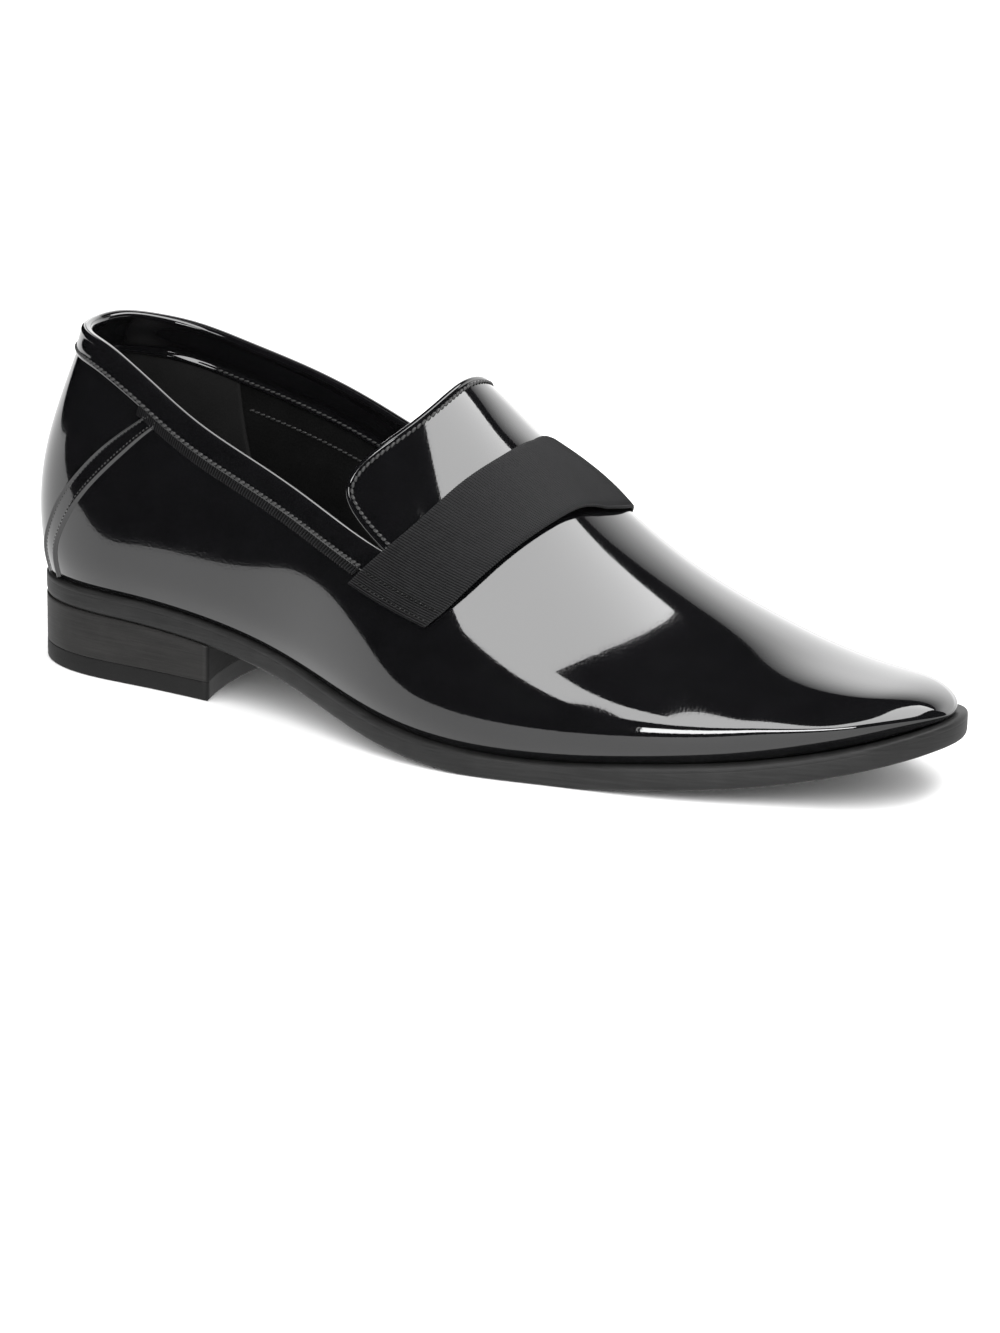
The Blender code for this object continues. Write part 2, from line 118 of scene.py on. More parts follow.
# The back seam from the side: up, forward
BACK = np.array([
    (0.00, 0.00), (0.12, -0.20), (0.28, -0.28), (0.48, -0.10),
    (0.64, 0.25), (0.81, 0.72), (1.13, 1.55), (1.45, 2.00),
])
# The collar line: s, then its height on the outer and the inner side
COLLAR = np.array([
    (0.00, 1.000, 1.000), (0.06, 1.000, 1.000), (0.12, 0.995, 0.975),
    (0.18, 0.970, 0.940), (0.24, 0.885, 0.895), (0.30, 0.770, 0.852),
    (0.36, 0.695, 0.805), (0.42, 0.650, 0.745), (0.482, 0.618, 0.690),
])
# The tongue's free edge: across, s
TONGUE = np.array([
    (0.00, 0.482), (0.22, 0.480), (0.43, 0.470), (0.66, 0.450), (0.80, 0.440),
    (0.87, 0.440), (0.92, 0.447), (0.96, 0.461), (1.00, 0.482),
])
# The strap and the counter seam: v on either side, then s of the rear and the front edge
STRAP = np.array([
    (0.000, 0.5295, 0.5730), (0.150, 0.5250, 0.5695), (0.300, 0.5125, 0.5615), (0.450, 0.4960, 0.5490),
    (0.565, 0.4780, 0.5365), (0.630, 0.4665, 0.5275), (0.690, 0.4560, 0.5175),
])
SEAM = np.array([
    (0.580, 0.252, 0.274), (0.610, 0.238, 0.262), (0.675, 0.208, 0.239), (0.745, 0.180, 0.213),
    (0.820, 0.150, 0.185), (0.875, 0.130, 0.166), (0.920, 0.112, 0.151), (1.000, 0.092, 0.137),
])
THROAT = TONGUE[-1, 1]
print("sections in the form:", len(FORM))


# %% Curves through a table
def spline(at, values, x):
    """Natural cubic spline: cubics between the points, with slope and bend the same on both sides of each."""
    step = np.diff(at)
    slope = np.diff(values) / step
    matrix = np.zeros((len(at), len(at)))
    right = np.zeros(len(at))
    matrix[0, 0] = matrix[-1, -1] = 1
    for k in range(1, len(at) - 1):
        matrix[k, k - 1:k + 2] = step[k - 1], 2 * (step[k - 1] + step[k]), step[k]
        right[k] = 6 * (slope[k] - slope[k - 1])
    bend = np.linalg.solve(matrix, right)
    k = np.clip(np.searchsorted(at, x, side="right") - 1, 0, len(at) - 2)
    t = x - at[k]
    first = slope[k] - step[k] * (2 * bend[k] + bend[k + 1]) / 6
    return values[k] + t * first + t * t * bend[k] / 2 + t ** 3 * (bend[k + 1] - bend[k]) / (6 * step[k])


def form(name, at):
    """One column of FORM at a share of the length."""
    return spline(FORM[:, 0], FORM[:, FORM_COLUMNS.index(name)], at)


def end_round(from_end, reach, power):
    """0 at an end, 1 from reach on: the root of 1 - (1 - from_end / reach) ** power."""
    return np.sqrt(1 - np.clip(1 - from_end / reach, 0, 1) ** power)


def climb(x, low, high):
    """A smooth step from 0 at low to 1 at high: t ** 3 * (6 * t * t - 15 * t + 10)."""
    t = np.clip((x - low) / (high - low), 0, 1)
    return t ** 3 * (6 * t * t - 15 * t + 10)


def fall(x, low, high):
    """The same step downwards, from 1 at low to 0 at high."""
    return climb(-x, -high, -low)


def bump_at(distance, width):
    """A soft round hump across a line: exp(-(distance / width) ** 2)."""
    return np.exp(-(distance / width) ** 2)


def run_along(path):
    """Arc length from a path's first point to each of its points: the chords added up."""
    return np.concatenate([[0], np.cumsum(np.linalg.norm(np.diff(path, axis=0), axis=1))])


# %% One cross-section
def section(at):
    """Half a superellipse on each flank over a tucked-in belly: out = half * cos ** (2 / side) and
    up = ridge * sin ** (2 / top), read at equal steps of arc and leaned inwards by height squared."""
    toe_round = end_round(1 - at, TOE_ROUND, TOE_POWER)
    plan = end_round(at, BACK_ROUND, BACK_POWER) * toe_round
    half = BALL_WIDTH * form("half", at) * plan
    belly = BELLY * form("belly", at) * plan
    ridge = INSTEP * form("ridge", at) * end_round(1 - at, TOE_CROWN_ROUND, TOE_POWER)
    widest = min(BELLY_UP, BELLY_LIMIT * ridge)
    tuck = np.linspace(1, 0, TUCK_STEPS + 1)[:-1]
    angle = np.linspace(0, np.pi / 2, ARCH_STEPS + 1)
    arch = (half + belly) * np.cos(angle) ** (2 / form("side", at))
    out = np.concatenate([half + belly * (1 - tuck ** 2), arch])
    crown = widest + (ridge - widest) * np.sin(angle) ** (2 / form("top", at))
    up = np.concatenate([widest * (1 - tuck), crown])
    lean = BALL_WIDTH * form("shift", at) * (up / max(ridge, 1e-9)) ** 2
    flanks = []
    for side in (-1, 1):
        y = BALL_WIDTH * form("mid", at) + side * out + lean
        run = run_along(np.stack([y, up], 1))
        want = np.linspace(0, run[-1], COLUMNS // 2 + 1)
        flanks.append(np.stack([np.interp(want, run, y), np.interp(want, run, up)], 1))
    y, z = np.concatenate([flanks[0], flanks[1][::-1][1:]]).T
    seam_line = spline(BACK[:, 0], BACK[:, 1], np.clip(z / BACK_HEIGHT, 0, BACK[-1, 0]))
    along = SEAT_MARGIN + (LENGTH - SEAT_MARGIN - FORE_MARGIN) * at
    x = along + BACK_LEAN * seam_line * (1 - at) ** BACK_FADE
    feather = SOLE + HEEL_HEIGHT * form("rise", at) + TOE_SPRING * form("spring", at)
    return np.stack([x, y, feather + z], 1)


# %% The smooth surface over the sections
def control_net():
    """The sections as B-spline control points, mirrored past the back seam, turned round X past the toe."""
    share = (1 - np.cos(np.pi * np.linspace(0, 1, ROWS))) / 2
    rows = np.stack([section(at) for at in share])
    behind = rows[1:3][::-1, ::-1]
    ahead = rows[-3:-1][::-1, ::-1].copy()
    ahead[..., 2] = 2 * rows[-1:, :, 2] - ahead[..., 2]
    rows = np.concatenate([behind, rows, ahead])
    outer = 2 * rows[:, :1] - rows[:, 2:0:-1]
    inner = 2 * rows[:, -1:] - rows[:, -2:-4:-1]
    return np.concatenate([outer, rows, inner], 1)


def weights(t):
    """The four cubic B-spline weights at t between two control points."""
    second = 3 * t ** 3 - 6 * t ** 2 + 4
    third = -3 * t ** 3 + 3 * t ** 2 + 3 * t + 1
    return np.stack([(1 - t) ** 3, second, third, t ** 3], -1) / 6


NET = control_net()
print("control points along and around:", NET.shape[:2])


def surface(s, v):
    """The last's face: the sum over 4 x 4 control points of weight(s) * weight(v) * point."""
    s, v = np.broadcast_arrays(np.asarray(s, float), np.asarray(v, float))
    row = s * (ROWS - 1) + 2
    col = (v + 1) / 2 * (COLUMNS - 1) + 2
    i = np.clip(np.floor(row).astype(int), 1, NET.shape[0] - 3)
    j = np.clip(np.floor(col).astype(int), 1, NET.shape[1] - 3)
    across = weights(row - i)
    around = weights(col - j)
    point = np.zeros(s.shape + (3,))
    for m in range(4):
        for n in range(4):
            point += (across[..., m] * around[..., n])[..., None] * NET[i + m - 1, j + n - 1]
    return point


def outward(s, v):
    """Unit normal: the cross product of the steps along s and v, level at the feather, fore and aft at the
    back seam, forward at the toe tip."""
    s, v = np.broadcast_arrays(np.asarray(s, float), np.asarray(v, float))
    step = 1e-3
    along = surface(np.minimum(s + step, 1), v) - surface(np.maximum(s - step, 0), v)
    around = surface(s, np.minimum(v + step, 1)) - surface(s, np.maximum(v - step, -1))
    normal = np.cross(along, around)
    normal[np.abs(v) > 1 - 1e-6, 2] = 0
    normal[s < 1e-6, 1] = 0
    normal[s > 1 - 1e-6] = (1, 0, 0)
    return normal / np.linalg.norm(normal, axis=-1, keepdims=True)


# %% Lines on the form
def s_per_length(s):
    """How much s changes for a metre along the shoe: 2 / (pi * LENGTH * sin(pi * s))."""
    return 2 / (np.pi * LENGTH * np.sin(np.pi * s))


def girth(s, side):
    """Arc length of one flank from the ridge to the feather: the sum of 40 chords."""
    path = surface(np.asarray(s)[..., None], np.linspace(0, side, 40))
    return np.linalg.norm(np.diff(path, axis=-2), axis=-1).sum(-1)


def collar(s, side):
    """|v| where the section reaches the collar's height at s."""
    s = np.asarray(s, float)
    height = BACK_HEIGHT * spline(COLLAR[:, 0], COLLAR[:, 1 if side < 0 else 2], s)
    v = np.linspace(1, 0.1, 90)
    path = surface(s[..., None], side * v)[..., 2]
    up = path - path[..., :1]
    rows = zip(height.ravel(), up.reshape(-1, len(v)))
    return np.array([np.interp(h, z, v) for h, z in rows]).reshape(s.shape)


def edge_mix(table, v, across):
    """s between the rear (0) and front (1) edges of a table, at |v|."""
    rear = spline(table[:, 0], table[:, 1], v)
    front = spline(table[:, 0], table[:, 2], v)
    return rear + (front - rear) * across


def margin(s):
    """How far the sole stands out past the feather: a smooth step from the seat's to the forepart's."""
    at = (1 - np.cos(np.pi * s)) / 2
    blend = np.clip((at - MARGIN_FROM) / (MARGIN_TO - MARGIN_FROM), 0, 1)
    return SEAT_MARGIN + (FORE_MARGIN - SEAT_MARGIN) * blend * blend * (3 - 2 * blend)


def plan_grid(s, grow, columns=2):
    """Rows across the shoe between the feather lines, each line moved outwards in plan by grow."""
    lines = []
    for side in (-1.0, 1.0):
        lines.append(surface(s, side) + outward(s, side) * np.broadcast_to(grow, s.shape)[:, None])
    outer, inner = lines
    for end in (0, -1):
        if s[end] in (0, 1):
            outer[end] = inner[end] = (outer[end] + inner[end]) / 2
    across = np.linspace(0, 1, columns)[:, None]
    return outer[:, None] + (inner - outer)[:, None] * across


def lowered(grid, height):
    """A grid with its heights replaced."""
    flat = grid.copy()
    flat[..., 2] = height
    return flat


# %% [markdown]
# The form stands in the shoemaker's own coordinates, with the back of the heel at zero. The frame is centred
# over its box, so the two differ by one shift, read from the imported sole. Reading it, and not typing it,
# keeps the looks on the solids when a size changes.

# %% The shift into the frame
CAD_ROWS = np.linspace(0, 1, 49)
own_corner = plan_grid(CAD_ROWS, margin(CAD_ROWS)).reshape(-1, 3).min(0)
packed_corner = np.array(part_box("outsole")[0])
SHIFT = np.array([packed_corner[0] - own_corner[0], packed_corner[1] - own_corner[1], 0])
print("shift in mm:", np.round(SHIFT / MM, 3).tolist())


def skin(s, v, out=0.0):
    """A point of a piece: the form's face moved out along its normal, in the frame."""
    s, v = np.broadcast_arrays(np.asarray(s, float), np.asarray(v, float))
    out = np.broadcast_to(out, s.shape)[..., None]
    return surface(s, v) + outward(s, v) * out + SHIFT


# %% [markdown]
# ## From arrays to meshes
#
# Every piece below is an array of points on a grid, so a few helpers turn grids into faces: a sheet, a tube
# that closes round its path, and a block whose top and bottom are grids and whose wall joins their outlines.
# Blender could also build these with curves and bevels, but then the shape would hide behind settings.

# %% Faces over grids
def grid_faces(rows, cols, start=0, wrap=False):
    """Quads over points stored row by row. With wrap the last column joins the first."""
    corner = np.arange(rows * cols).reshape(rows, cols) + start
    if wrap:
        corner = np.concatenate([corner, corner[:, :1]], 1)
    quads = np.stack([corner[:-1, :-1], corner[1:, :-1], corner[1:, 1:], corner[:-1, 1:]], -1)
    return quads.reshape(-1, 4)


def put(name, points, faces, outside=False, merge=True, uv=None):
    """A smooth-shaded mesh object from points and quads, its double points merged. With outside the faces
    of a closed body are turned outwards."""
    mesh = bpy.data.meshes.new(name)
    mesh.from_pydata(points.reshape(-1, 3).tolist(), [], faces.tolist())
    if uv is not None:
        corner = np.zeros(len(mesh.loops), int)
        mesh.loops.foreach_get("vertex_index", corner)
        layer = mesh.uv_layers.new(name="UVMap")
        layer.data.foreach_set("uv", uv.reshape(-1, 2)[corner].ravel())
    shape = bmesh.new()
    shape.from_mesh(mesh)
    if merge:
        bmesh.ops.remove_doubles(shape, verts=shape.verts, dist=3e-6)
        bmesh.ops.dissolve_degenerate(shape, edges=shape.edges, dist=1e-7)
    if outside:
        bmesh.ops.recalc_face_normals(shape, faces=shape.faces)
    shape.to_mesh(mesh)
    shape.free()
    mesh.shade_smooth()
    piece = bpy.data.objects.new(name, mesh)
    bpy.context.collection.objects.link(piece)
    return piece


def block(name, rings, uv=None):
    """A closed body through grids, from the top face to the bottom face, walled along their outlines."""
    rows, cols = rings[0].shape[:2]
    size = rows * cols
    corner = np.arange(size).reshape(rows, cols)
    loop = np.concatenate([corner[:, 0], corner[-1, 1:], corner[-2::-1, -1], corner[0, -2:0:-1]])
    faces = [grid_faces(rows, cols), grid_faces(rows, cols, size * (len(rings) - 1))[:, ::-1]]
    for k in range(len(rings) - 1):
        above, below = loop + k * size, loop + (k + 1) * size
        faces.append(np.stack([above, below, np.roll(below, -1), np.roll(above, -1)], 1))
    points = np.concatenate([ring.reshape(-1, 3) for ring in rings])
    if uv is not None:
        uv = np.concatenate([uv.reshape(-1, 2)] * len(rings))
    return put(name, points, np.concatenate(faces), outside=True, uv=uv)


def tube(name, path, side, up, radius, around=12):
    """A closed tube: path + radius * (cos(angle) * side + sin(angle) * up), its ends drawn to a point."""
    angle = np.linspace(0, 2 * np.pi, around, endpoint=False)
    grow = np.broadcast_to(radius, len(path)).copy()
    grow[0] = grow[-1] = 0
    ring = np.cos(angle)[:, None] * side[:, None] + np.sin(angle)[:, None] * up[:, None]
    points = path[:, None] + ring * grow[:, None, None]
    return put(name, points, grid_faces(len(path), around, wrap=True), outside=True)


# %% [markdown]
# Threads are many and tiny, so a stitch is one small grain with a few dozen faces, carried along a path. Real
# stitches sink at both ends, where the needle went through, and lie slightly turned. A grain that swells
# in its middle and dives at its ends says this with the fewest faces.

# %% A row of stitches
GRAIN_RINGS, GRAIN_SIDES = 7, 8


def along_path(path, pitch):
    """Places at equal steps of arc along a path: their fractional row numbers."""
    run = run_along(path)
    count = max(int(run[-1] / pitch), 2)
    return np.interp((np.arange(count) + 0.5) * run[-1] / count, run, np.arange(len(path)))


def read_rows(rows, at):
    """Rows of an array at fractional row numbers, by straight lines between them."""
    low = np.clip(np.floor(at).astype(int), 0, len(rows) - 2)
    part = (at - low)[:, None]
    return rows[low] * (1 - part) + rows[low + 1] * part


def unit(vectors):
    """Vectors at length one."""
    return vectors / np.maximum(np.linalg.norm(vectors, axis=-1, keepdims=True), 1e-12)


def stitches(name, path, up, pitch=1.9 * MM, length=2.0 * MM, width=0.78 * MM, turn=0.30, sink=0.22 * MM):
    """Grains along a path: along = length / 2 * sin(a), radius = width / 2 * cos(a) ** 0.6, each a little
    flattened, turned in its plane and sunk at its ends."""
    tangent = unit(np.gradient(path, axis=0))
    at = along_path(path, pitch)
    centre, lift, ahead = read_rows(path, at), unit(read_rows(up, at)), unit(read_rows(tangent, at))
    side = unit(np.cross(lift, ahead))
    axis = ahead * np.cos(turn) + side * np.sin(turn)
    side = side * np.cos(turn) - ahead * np.sin(turn)
    rise = np.linspace(-np.pi / 2, np.pi / 2, GRAIN_RINGS)
    spin = np.linspace(0, 2 * np.pi, GRAIN_SIDES, endpoint=False)
    far = (length / 2 * np.sin(rise))[:, None] * np.ones(GRAIN_SIDES)
    thick = (width / 2 * np.cos(rise) ** 0.6)[:, None]
    across = thick * np.cos(spin)
    high = thick * np.sin(spin) * 0.8 - (sink * np.sin(rise) ** 2)[:, None]
    grain = np.stack([far, across, high], -1).reshape(1, -1, 3, 1)
    basis = np.stack([axis, side, lift], 1)[:, None]
    points = centre[:, None] + (grain * basis).sum(2)
    one = grid_faces(GRAIN_RINGS, GRAIN_SIDES, wrap=True)
    faces = (one + np.arange(len(at))[:, None, None] * GRAIN_RINGS * GRAIN_SIDES).reshape(-1, 4)
    return put(name, points, faces, outside=True)


# %% [markdown]
# ## The camera and the studio
#
# The photograph was taken with a long lens from the outer side, a little above. The camera was found by
# fitting the sole's and the collar's lines, and its numbers are in the shoemaker's coordinates.

# %% The camera
AZIMUTH, ELEVATION, ROLL = np.radians([28.767, 17.297, 0.796])
CAMERA_DISTANCE = 1.4581
CAMERA_TARGET = np.array([0.15843, 0.0, 0.01684])
SENSOR = 36.0
FOCAL_PIXELS, IMAGE_HEIGHT = 4848.1, 1333

towards = np.array([np.sin(AZIMUTH) * np.cos(ELEVATION), -np.cos(AZIMUTH) * np.cos(ELEVATION),
                    np.sin(ELEVATION)])
level = np.array([np.cos(AZIMUTH), np.sin(AZIMUTH), 0.0])
upright = np.cross(towards, level)
right_hand = level * np.cos(ROLL) + upright * np.sin(ROLL)
top_side = upright * np.cos(ROLL) - level * np.sin(ROLL)
lens = bpy.data.cameras.new("camera")
lens.lens = FOCAL_PIXELS * SENSOR / IMAGE_HEIGHT
lens.sensor_width = SENSOR
lens.clip_start, lens.clip_end = 0.05, 60
camera = bpy.data.objects.new("camera", lens)
bpy.context.collection.objects.link(camera)
place = Matrix((right_hand, top_side, towards)).transposed().to_4x4()
place.translation = Vector(CAMERA_TARGET + towards * CAMERA_DISTANCE + SHIFT)
camera.matrix_world = place
bpy.context.scene.camera = camera
print("lens in mm:", round(lens.lens, 1))

# %% [markdown]
# Black patent shows only what it mirrors. The studio is three soft panels hung level above the shoe, in a
# row from the sweep to behind the camera, and a thin strip light low in front. What they leave dark shows as
# the wedge on the forepart. Reflections and lighting are parted by ray visibility: the world lights the
# floor but isn't mirrored, and cards that only mirrors see stand for the sweep and the table. One big world
# of light would be simpler, but it would turn the leather grey.

# %% Lights
def softbox(name, centre, look_at, wide, high, radiance, diffuse=True):
    """A rectangular lamp whose face has the given radiance: power = pi * area * radiance."""
    lamp = bpy.data.lights.new(name, "AREA")
    lamp.shape = "RECTANGLE"
    lamp.size, lamp.size_y = wide, high
    lamp.energy = np.pi * wide * high * radiance
    held = bpy.data.objects.new(name, lamp)
    bpy.context.collection.objects.link(held)
    centre = Vector(centre)
    held.matrix_world = Matrix.Translation(centre) @ (
        (Vector(look_at) - centre).to_track_quat("-Z", "Y").to_matrix().to_4x4())
    held.visible_camera = False
    held.visible_diffuse = diffuse


CEILING = 1.5
PANEL_RADIANCE = 5.0
# The panels: name, x and y of the middle, size along x and along y
PANELS = (
    ("over_softbox", 0.66, 0.025, 0.88, 2.45),
    ("front_softbox", 0.66, -1.6, 0.88, 0.80),
    ("low_softbox", 0.38, -3.1, 1.46, 2.20),
)
for name, x, y, wide, high in PANELS:
    softbox(name, (x, y, CEILING), (x, y, 0), wide, high, PANEL_RADIANCE)
softbox("strip_light", (0.32, -1.0, 0.07), (0.08, 0, 0.07), 0.52, 0.18, 11.0, diffuse=False)

# %% The world
WORLD_STRENGTH = 1.6
world = bpy.data.worlds.new("studio")
bpy.context.scene.world = world
world.use_nodes = True
background = world.node_tree.nodes["Background"]
background.inputs["Color"].default_value = (1, 1, 1, 1)
background.inputs["Strength"].default_value = WORLD_STRENGTH
world.cycles_visibility.glossy = False
bpy.context.scene.view_settings.view_transform = "Standard"
print("world strength:", WORLD_STRENGTH)


# %% [markdown]
# ## Writing materials as arithmetic
#
# A node tree is a formula. The class below lets Python's own operators write it, so that a mask reads as
# 1 - edge * 0.5. One more method adds any other node: its settings first, then its inputs.

# %% A small language for shaders
def rgba(shade):
    """A grey from one number, or a colour from three, with full alpha."""
    return (*np.full(3, shade, float), 1)


class Value:
    """A number that varies over a surface."""

    def __init__(self, finish, socket):
        self.finish, self.socket = finish, socket

    def maths(self, operation, *others, swap=False):
        """A Math node on this value and others, in turned order with swap."""
        terms = [self, *others]
        if swap:
            terms = terms[::-1]
        made = self.finish.node("ShaderNodeMath", {"operation": operation}, dict(enumerate(terms)))
        return Value(self.finish, made.outputs[0])

    def __add__(self, other):
        return self.maths("ADD", other)

    def __sub__(self, other):
        return self.maths("SUBTRACT", other)

    def __rsub__(self, other):
        return self.maths("SUBTRACT", other, swap=True)

    def __mul__(self, other):
        return self.maths("MULTIPLY", other)

    __radd__ = __add__
    __rmul__ = __mul__

    def sin(self):
        """The sine of an angle in radians."""
        return self.maths("SINE")

    def size(self):
        """The value without its sign."""
        return self.maths("ABSOLUTE")

    def step(self, low, high):
        """0 below low and 1 above high, with a smooth climb between them."""
        made = self.finish.node("ShaderNodeMapRange", {"interpolation_type": "SMOOTHSTEP"},
                                {"Value": self, "From Min": low, "From Max": high})
        return Value(self.finish, made.outputs["Result"])


class Finish:
    """A material under construction."""

    def __init__(self, name, **constants):
        self.made = bpy.data.materials.new(name)
        self.made.use_nodes = True
        self.tree = self.made.node_tree
        self.shader = self.tree.nodes["Principled BSDF"]
        for socket, value in constants.items():
            self.shader.inputs[socket.replace("_", " ")].default_value = value

    def node(self, kind, settings=None, inputs=None):
        """Any node: settings are set first, then each socket gets its value or link."""
        made = self.tree.nodes.new(kind)
        for key, value in (settings or {}).items():
            setattr(made, key, value)
        for key, value in (inputs or {}).items():
            self.feed(made.inputs[key], value)
        return made

    def feed(self, socket, value):
        """A link from a Value or a socket, or a plain number or colour."""
        if isinstance(value, Value):
            value = value.socket
        if isinstance(value, bpy.types.NodeSocket):
            self.tree.links.new(value, socket)
        else:
            socket.default_value = value

    def place(self, scale=(1, 1, 1), source="Object"):
        """Object or UV coordinates, stretched."""
        coordinates = self.node("ShaderNodeTexCoord")
        mapped = self.node("ShaderNodeMapping", None, {"Vector": coordinates.outputs[source], "Scale": scale})
        return mapped.outputs["Vector"]

    def part(self, vector, axis):
        """One coordinate of a vector."""
        split = self.node("ShaderNodeSeparateXYZ", None, {"Vector": vector})
        return Value(self, split.outputs[axis])

    def noise(self, vector, scale, detail=2.0, roughness=0.5):
        """Soft noise from 0 to 1."""
        made = self.node("ShaderNodeTexNoise", None, {
            "Vector": vector, "Scale": scale, "Detail": detail, "Roughness": roughness})
        return Value(self, made.outputs[0])

    def cells(self, vector, scale):
        """Distance to the nearest of scattered points."""
        made = self.node("ShaderNodeTexVoronoi", {"feature": "F1"}, {"Vector": vector, "Scale": scale})
        return Value(self, made.outputs["Distance"])

    def colour(self, amount, low, high, target="Base Color"):
        """Between two colours or greys, low at 0 and high at 1. The colour sockets of a Mix node are its
        inputs 6 and 7 and its output 2."""
        made = self.node("ShaderNodeMix", {"data_type": "RGBA"}, {
            "Factor": amount, 6: rgba(low), 7: rgba(high)})
        self.feed(self.shader.inputs[target], made.outputs[2])

    def relief(self, height, distance, strength=1.0):
        """Height, 0 to 1, as bumps that are distance high."""
        made = self.node("ShaderNodeBump", None, {
            "Height": height, "Distance": distance, "Strength": strength})
        self.feed(self.shader.inputs["Normal"], made.outputs["Normal"])


# %% [markdown]
# Patent leather: the hide under the varnish is black, and the varnish is clear and almost a mirror. What
# tells it from glass is a slow waviness of the hide and a fine, soft orange peel, which fray the edges of
# every reflection. Both are bumps of less than a tenth of a millimetre.

# %% Patent leather
def patent_finish():
    """Black base, clear coat, height = 0.80 * slow waves + 0.13 * fine peel."""
    finish = Finish("patent_leather", IOR=1.5, Coat_Weight=1.0, Coat_IOR=1.55, Coat_Roughness=0.015)
    spot = finish.place()
    waves = finish.noise(spot, 45, 1.0)
    peel = finish.noise(spot, 1300, 1.0)
    finish.relief(waves * 0.80 + peel * 0.13, 0.10 * MM)
    finish.colour(finish.noise(spot, 120, 2.0), (0.0025, 0.0025, 0.0028), (0.0045, 0.0045, 0.005))
    finish.feed(finish.shader.inputs["Roughness"], 0.05 + finish.noise(spot, 60, 2.0) * 0.04)
    return finish.made


PATENT = patent_finish()
print("finish:", PATENT.name)


# %% [markdown]
# Sole edge, stacked heel and rubber lift are cut edges of leather and rubber, inked black and waxed. Their
# grain runs level: layers of hide seen from the side. Noise that is squeezed in height and stretched along
# the shoe gives it.

# %% Leather edges and rubber
def edge_finish(name, dark, pale, rough, layers, breast=0.0):
    """Level striations: noise stretched along the shoe, with layers of them to the metre. Faces that look
    ahead, at the heel's breast, get painted shade, a darker colour, and a duller finish, both by a share."""
    finish = Finish(name, IOR=1.45, Specular_IOR_Level=0.3)
    fine = finish.noise(finish.place((60, 60, layers)), 1.0, 3.0, 0.6)
    cloudy = finish.noise(finish.place(), 140, 3.0)
    ahead = finish.part(finish.node("ShaderNodeTexCoord").outputs["Normal"], "X").step(0.55, 0.85)
    # Painted shade: breast darkens the colour of faces that look ahead, at the heel's breast.
    finish.colour((fine * 0.7 + cloudy * 0.3) * (1 - ahead * breast), dark, pale)
    finish.feed(finish.shader.inputs["Roughness"], rough + fine * 0.16 - cloudy * 0.08 + ahead * breast * 0.4)
    finish.relief(fine * 0.7 + cloudy * 0.3, 0.12 * MM)
    return finish.made


def rubber_finish():
    """Fine moulded grain with scuffed specks."""
    finish = Finish("heel_rubber", IOR=1.45, Specular_IOR_Level=0.3)
    spot = finish.place()
    grain = finish.noise(spot, 1600, 2.0)
    cloudy = finish.noise(spot, 160, 3.0)
    finish.colour(cloudy, 0.004, 0.009)
    finish.feed(finish.shader.inputs["Roughness"], 0.52 + cloudy * 0.14)
    finish.relief(grain, 0.05 * MM)
    return finish.made


SOLE_EDGE = edge_finish("sole_leather", 0.004, 0.026, 0.42, 1500)
# The heel's breast gets painted shade: its colour is darkened by a share of 0.8.
HEEL_EDGE = edge_finish("heel_leather", 0.003, (0.027, 0.026, 0.025), 0.44, 2200, 0.8)
HEEL_RUBBER = rubber_finish()
print("edges:", SOLE_EDGE.name, HEEL_EDGE.name, HEEL_RUBBER.name)


# %% [markdown]
# Grosgrain is a ribbed ribbon: thick weft cords under a dense silk-like warp, so the ribs run across it and
# the threads along it. The ribs are modelled, and the threads are a bump. The ribbon shines only a little,
# and its colour carries painted shade: paler along the ribs' tops, darker in the grooves between them.

# %% Ribbon, thread and lining
WARP_PITCH = 0.32 * MM
RIB_PITCH = 0.85 * MM
GIMP_PITCH = 0.95 * MM


def ribbon_finish(name, dark, pale, pitch):
    """Threads over ribs: warp = |sin(pi * y / WARP_PITCH)|, rib = 0.5 + 0.5 * cos(2 pi * x / pitch), and
    the colour is mixed from both and noise. The rib term is painted shade: dark between the ribs, pale on
    their tops."""
    finish = Finish(name, IOR=1.45, Specular_IOR_Level=0.18, Sheen_Weight=0.05, Sheen_Roughness=0.4)
    strip = finish.place((1, 1, 1), "UV")
    warp = (finish.part(strip, "Y") * (np.pi / WARP_PITCH)).sin().size()
    rib = ((finish.part(strip, "X") * (2 * np.pi / pitch) + np.pi / 2).sin() * 0.5 + 0.5).step(0.15, 0.9)
    cloudy = finish.noise(finish.place(), 300, 3.0)
    # Painted shade: rib darkens the colour in the grooves between the ribs and lightens their tops.
    finish.colour(rib * 0.7 + cloudy * 0.2 + warp * 0.1, dark, pale)
    finish.feed(finish.shader.inputs["Roughness"], 0.50 + cloudy * 0.15)
    finish.relief(warp * 0.5 + finish.noise(finish.place(), 2500, 2.0) * 0.5, 0.05 * MM)
    return finish.made


def thread_finish(name, dark, pale):
    """Waxed black thread: a twist seen as fine noise."""
    finish = Finish(name, IOR=1.5)
    twist = finish.noise(finish.place(), 2600, 1.0)
    finish.colour(twist, dark, pale)
    finish.feed(finish.shader.inputs["Roughness"], 0.30 + twist * 0.15)
    finish.relief(twist, 0.06 * MM)
    return finish.made


def hide_finish(name, dark, pale, rough, grain_scale):
    """Plain leather or suede: pores from cells, height = distance to the pores."""
    finish = Finish(name, IOR=1.45)
    spot = finish.place()
    pores = finish.cells(spot, grain_scale)
    cloudy = finish.noise(spot, 90, 3.0)
    finish.colour(cloudy, dark, pale)
    finish.feed(finish.shader.inputs["Roughness"], rough + cloudy * 0.15)
    finish.relief(pores, 0.08 * MM, 0.7)
    return finish.made
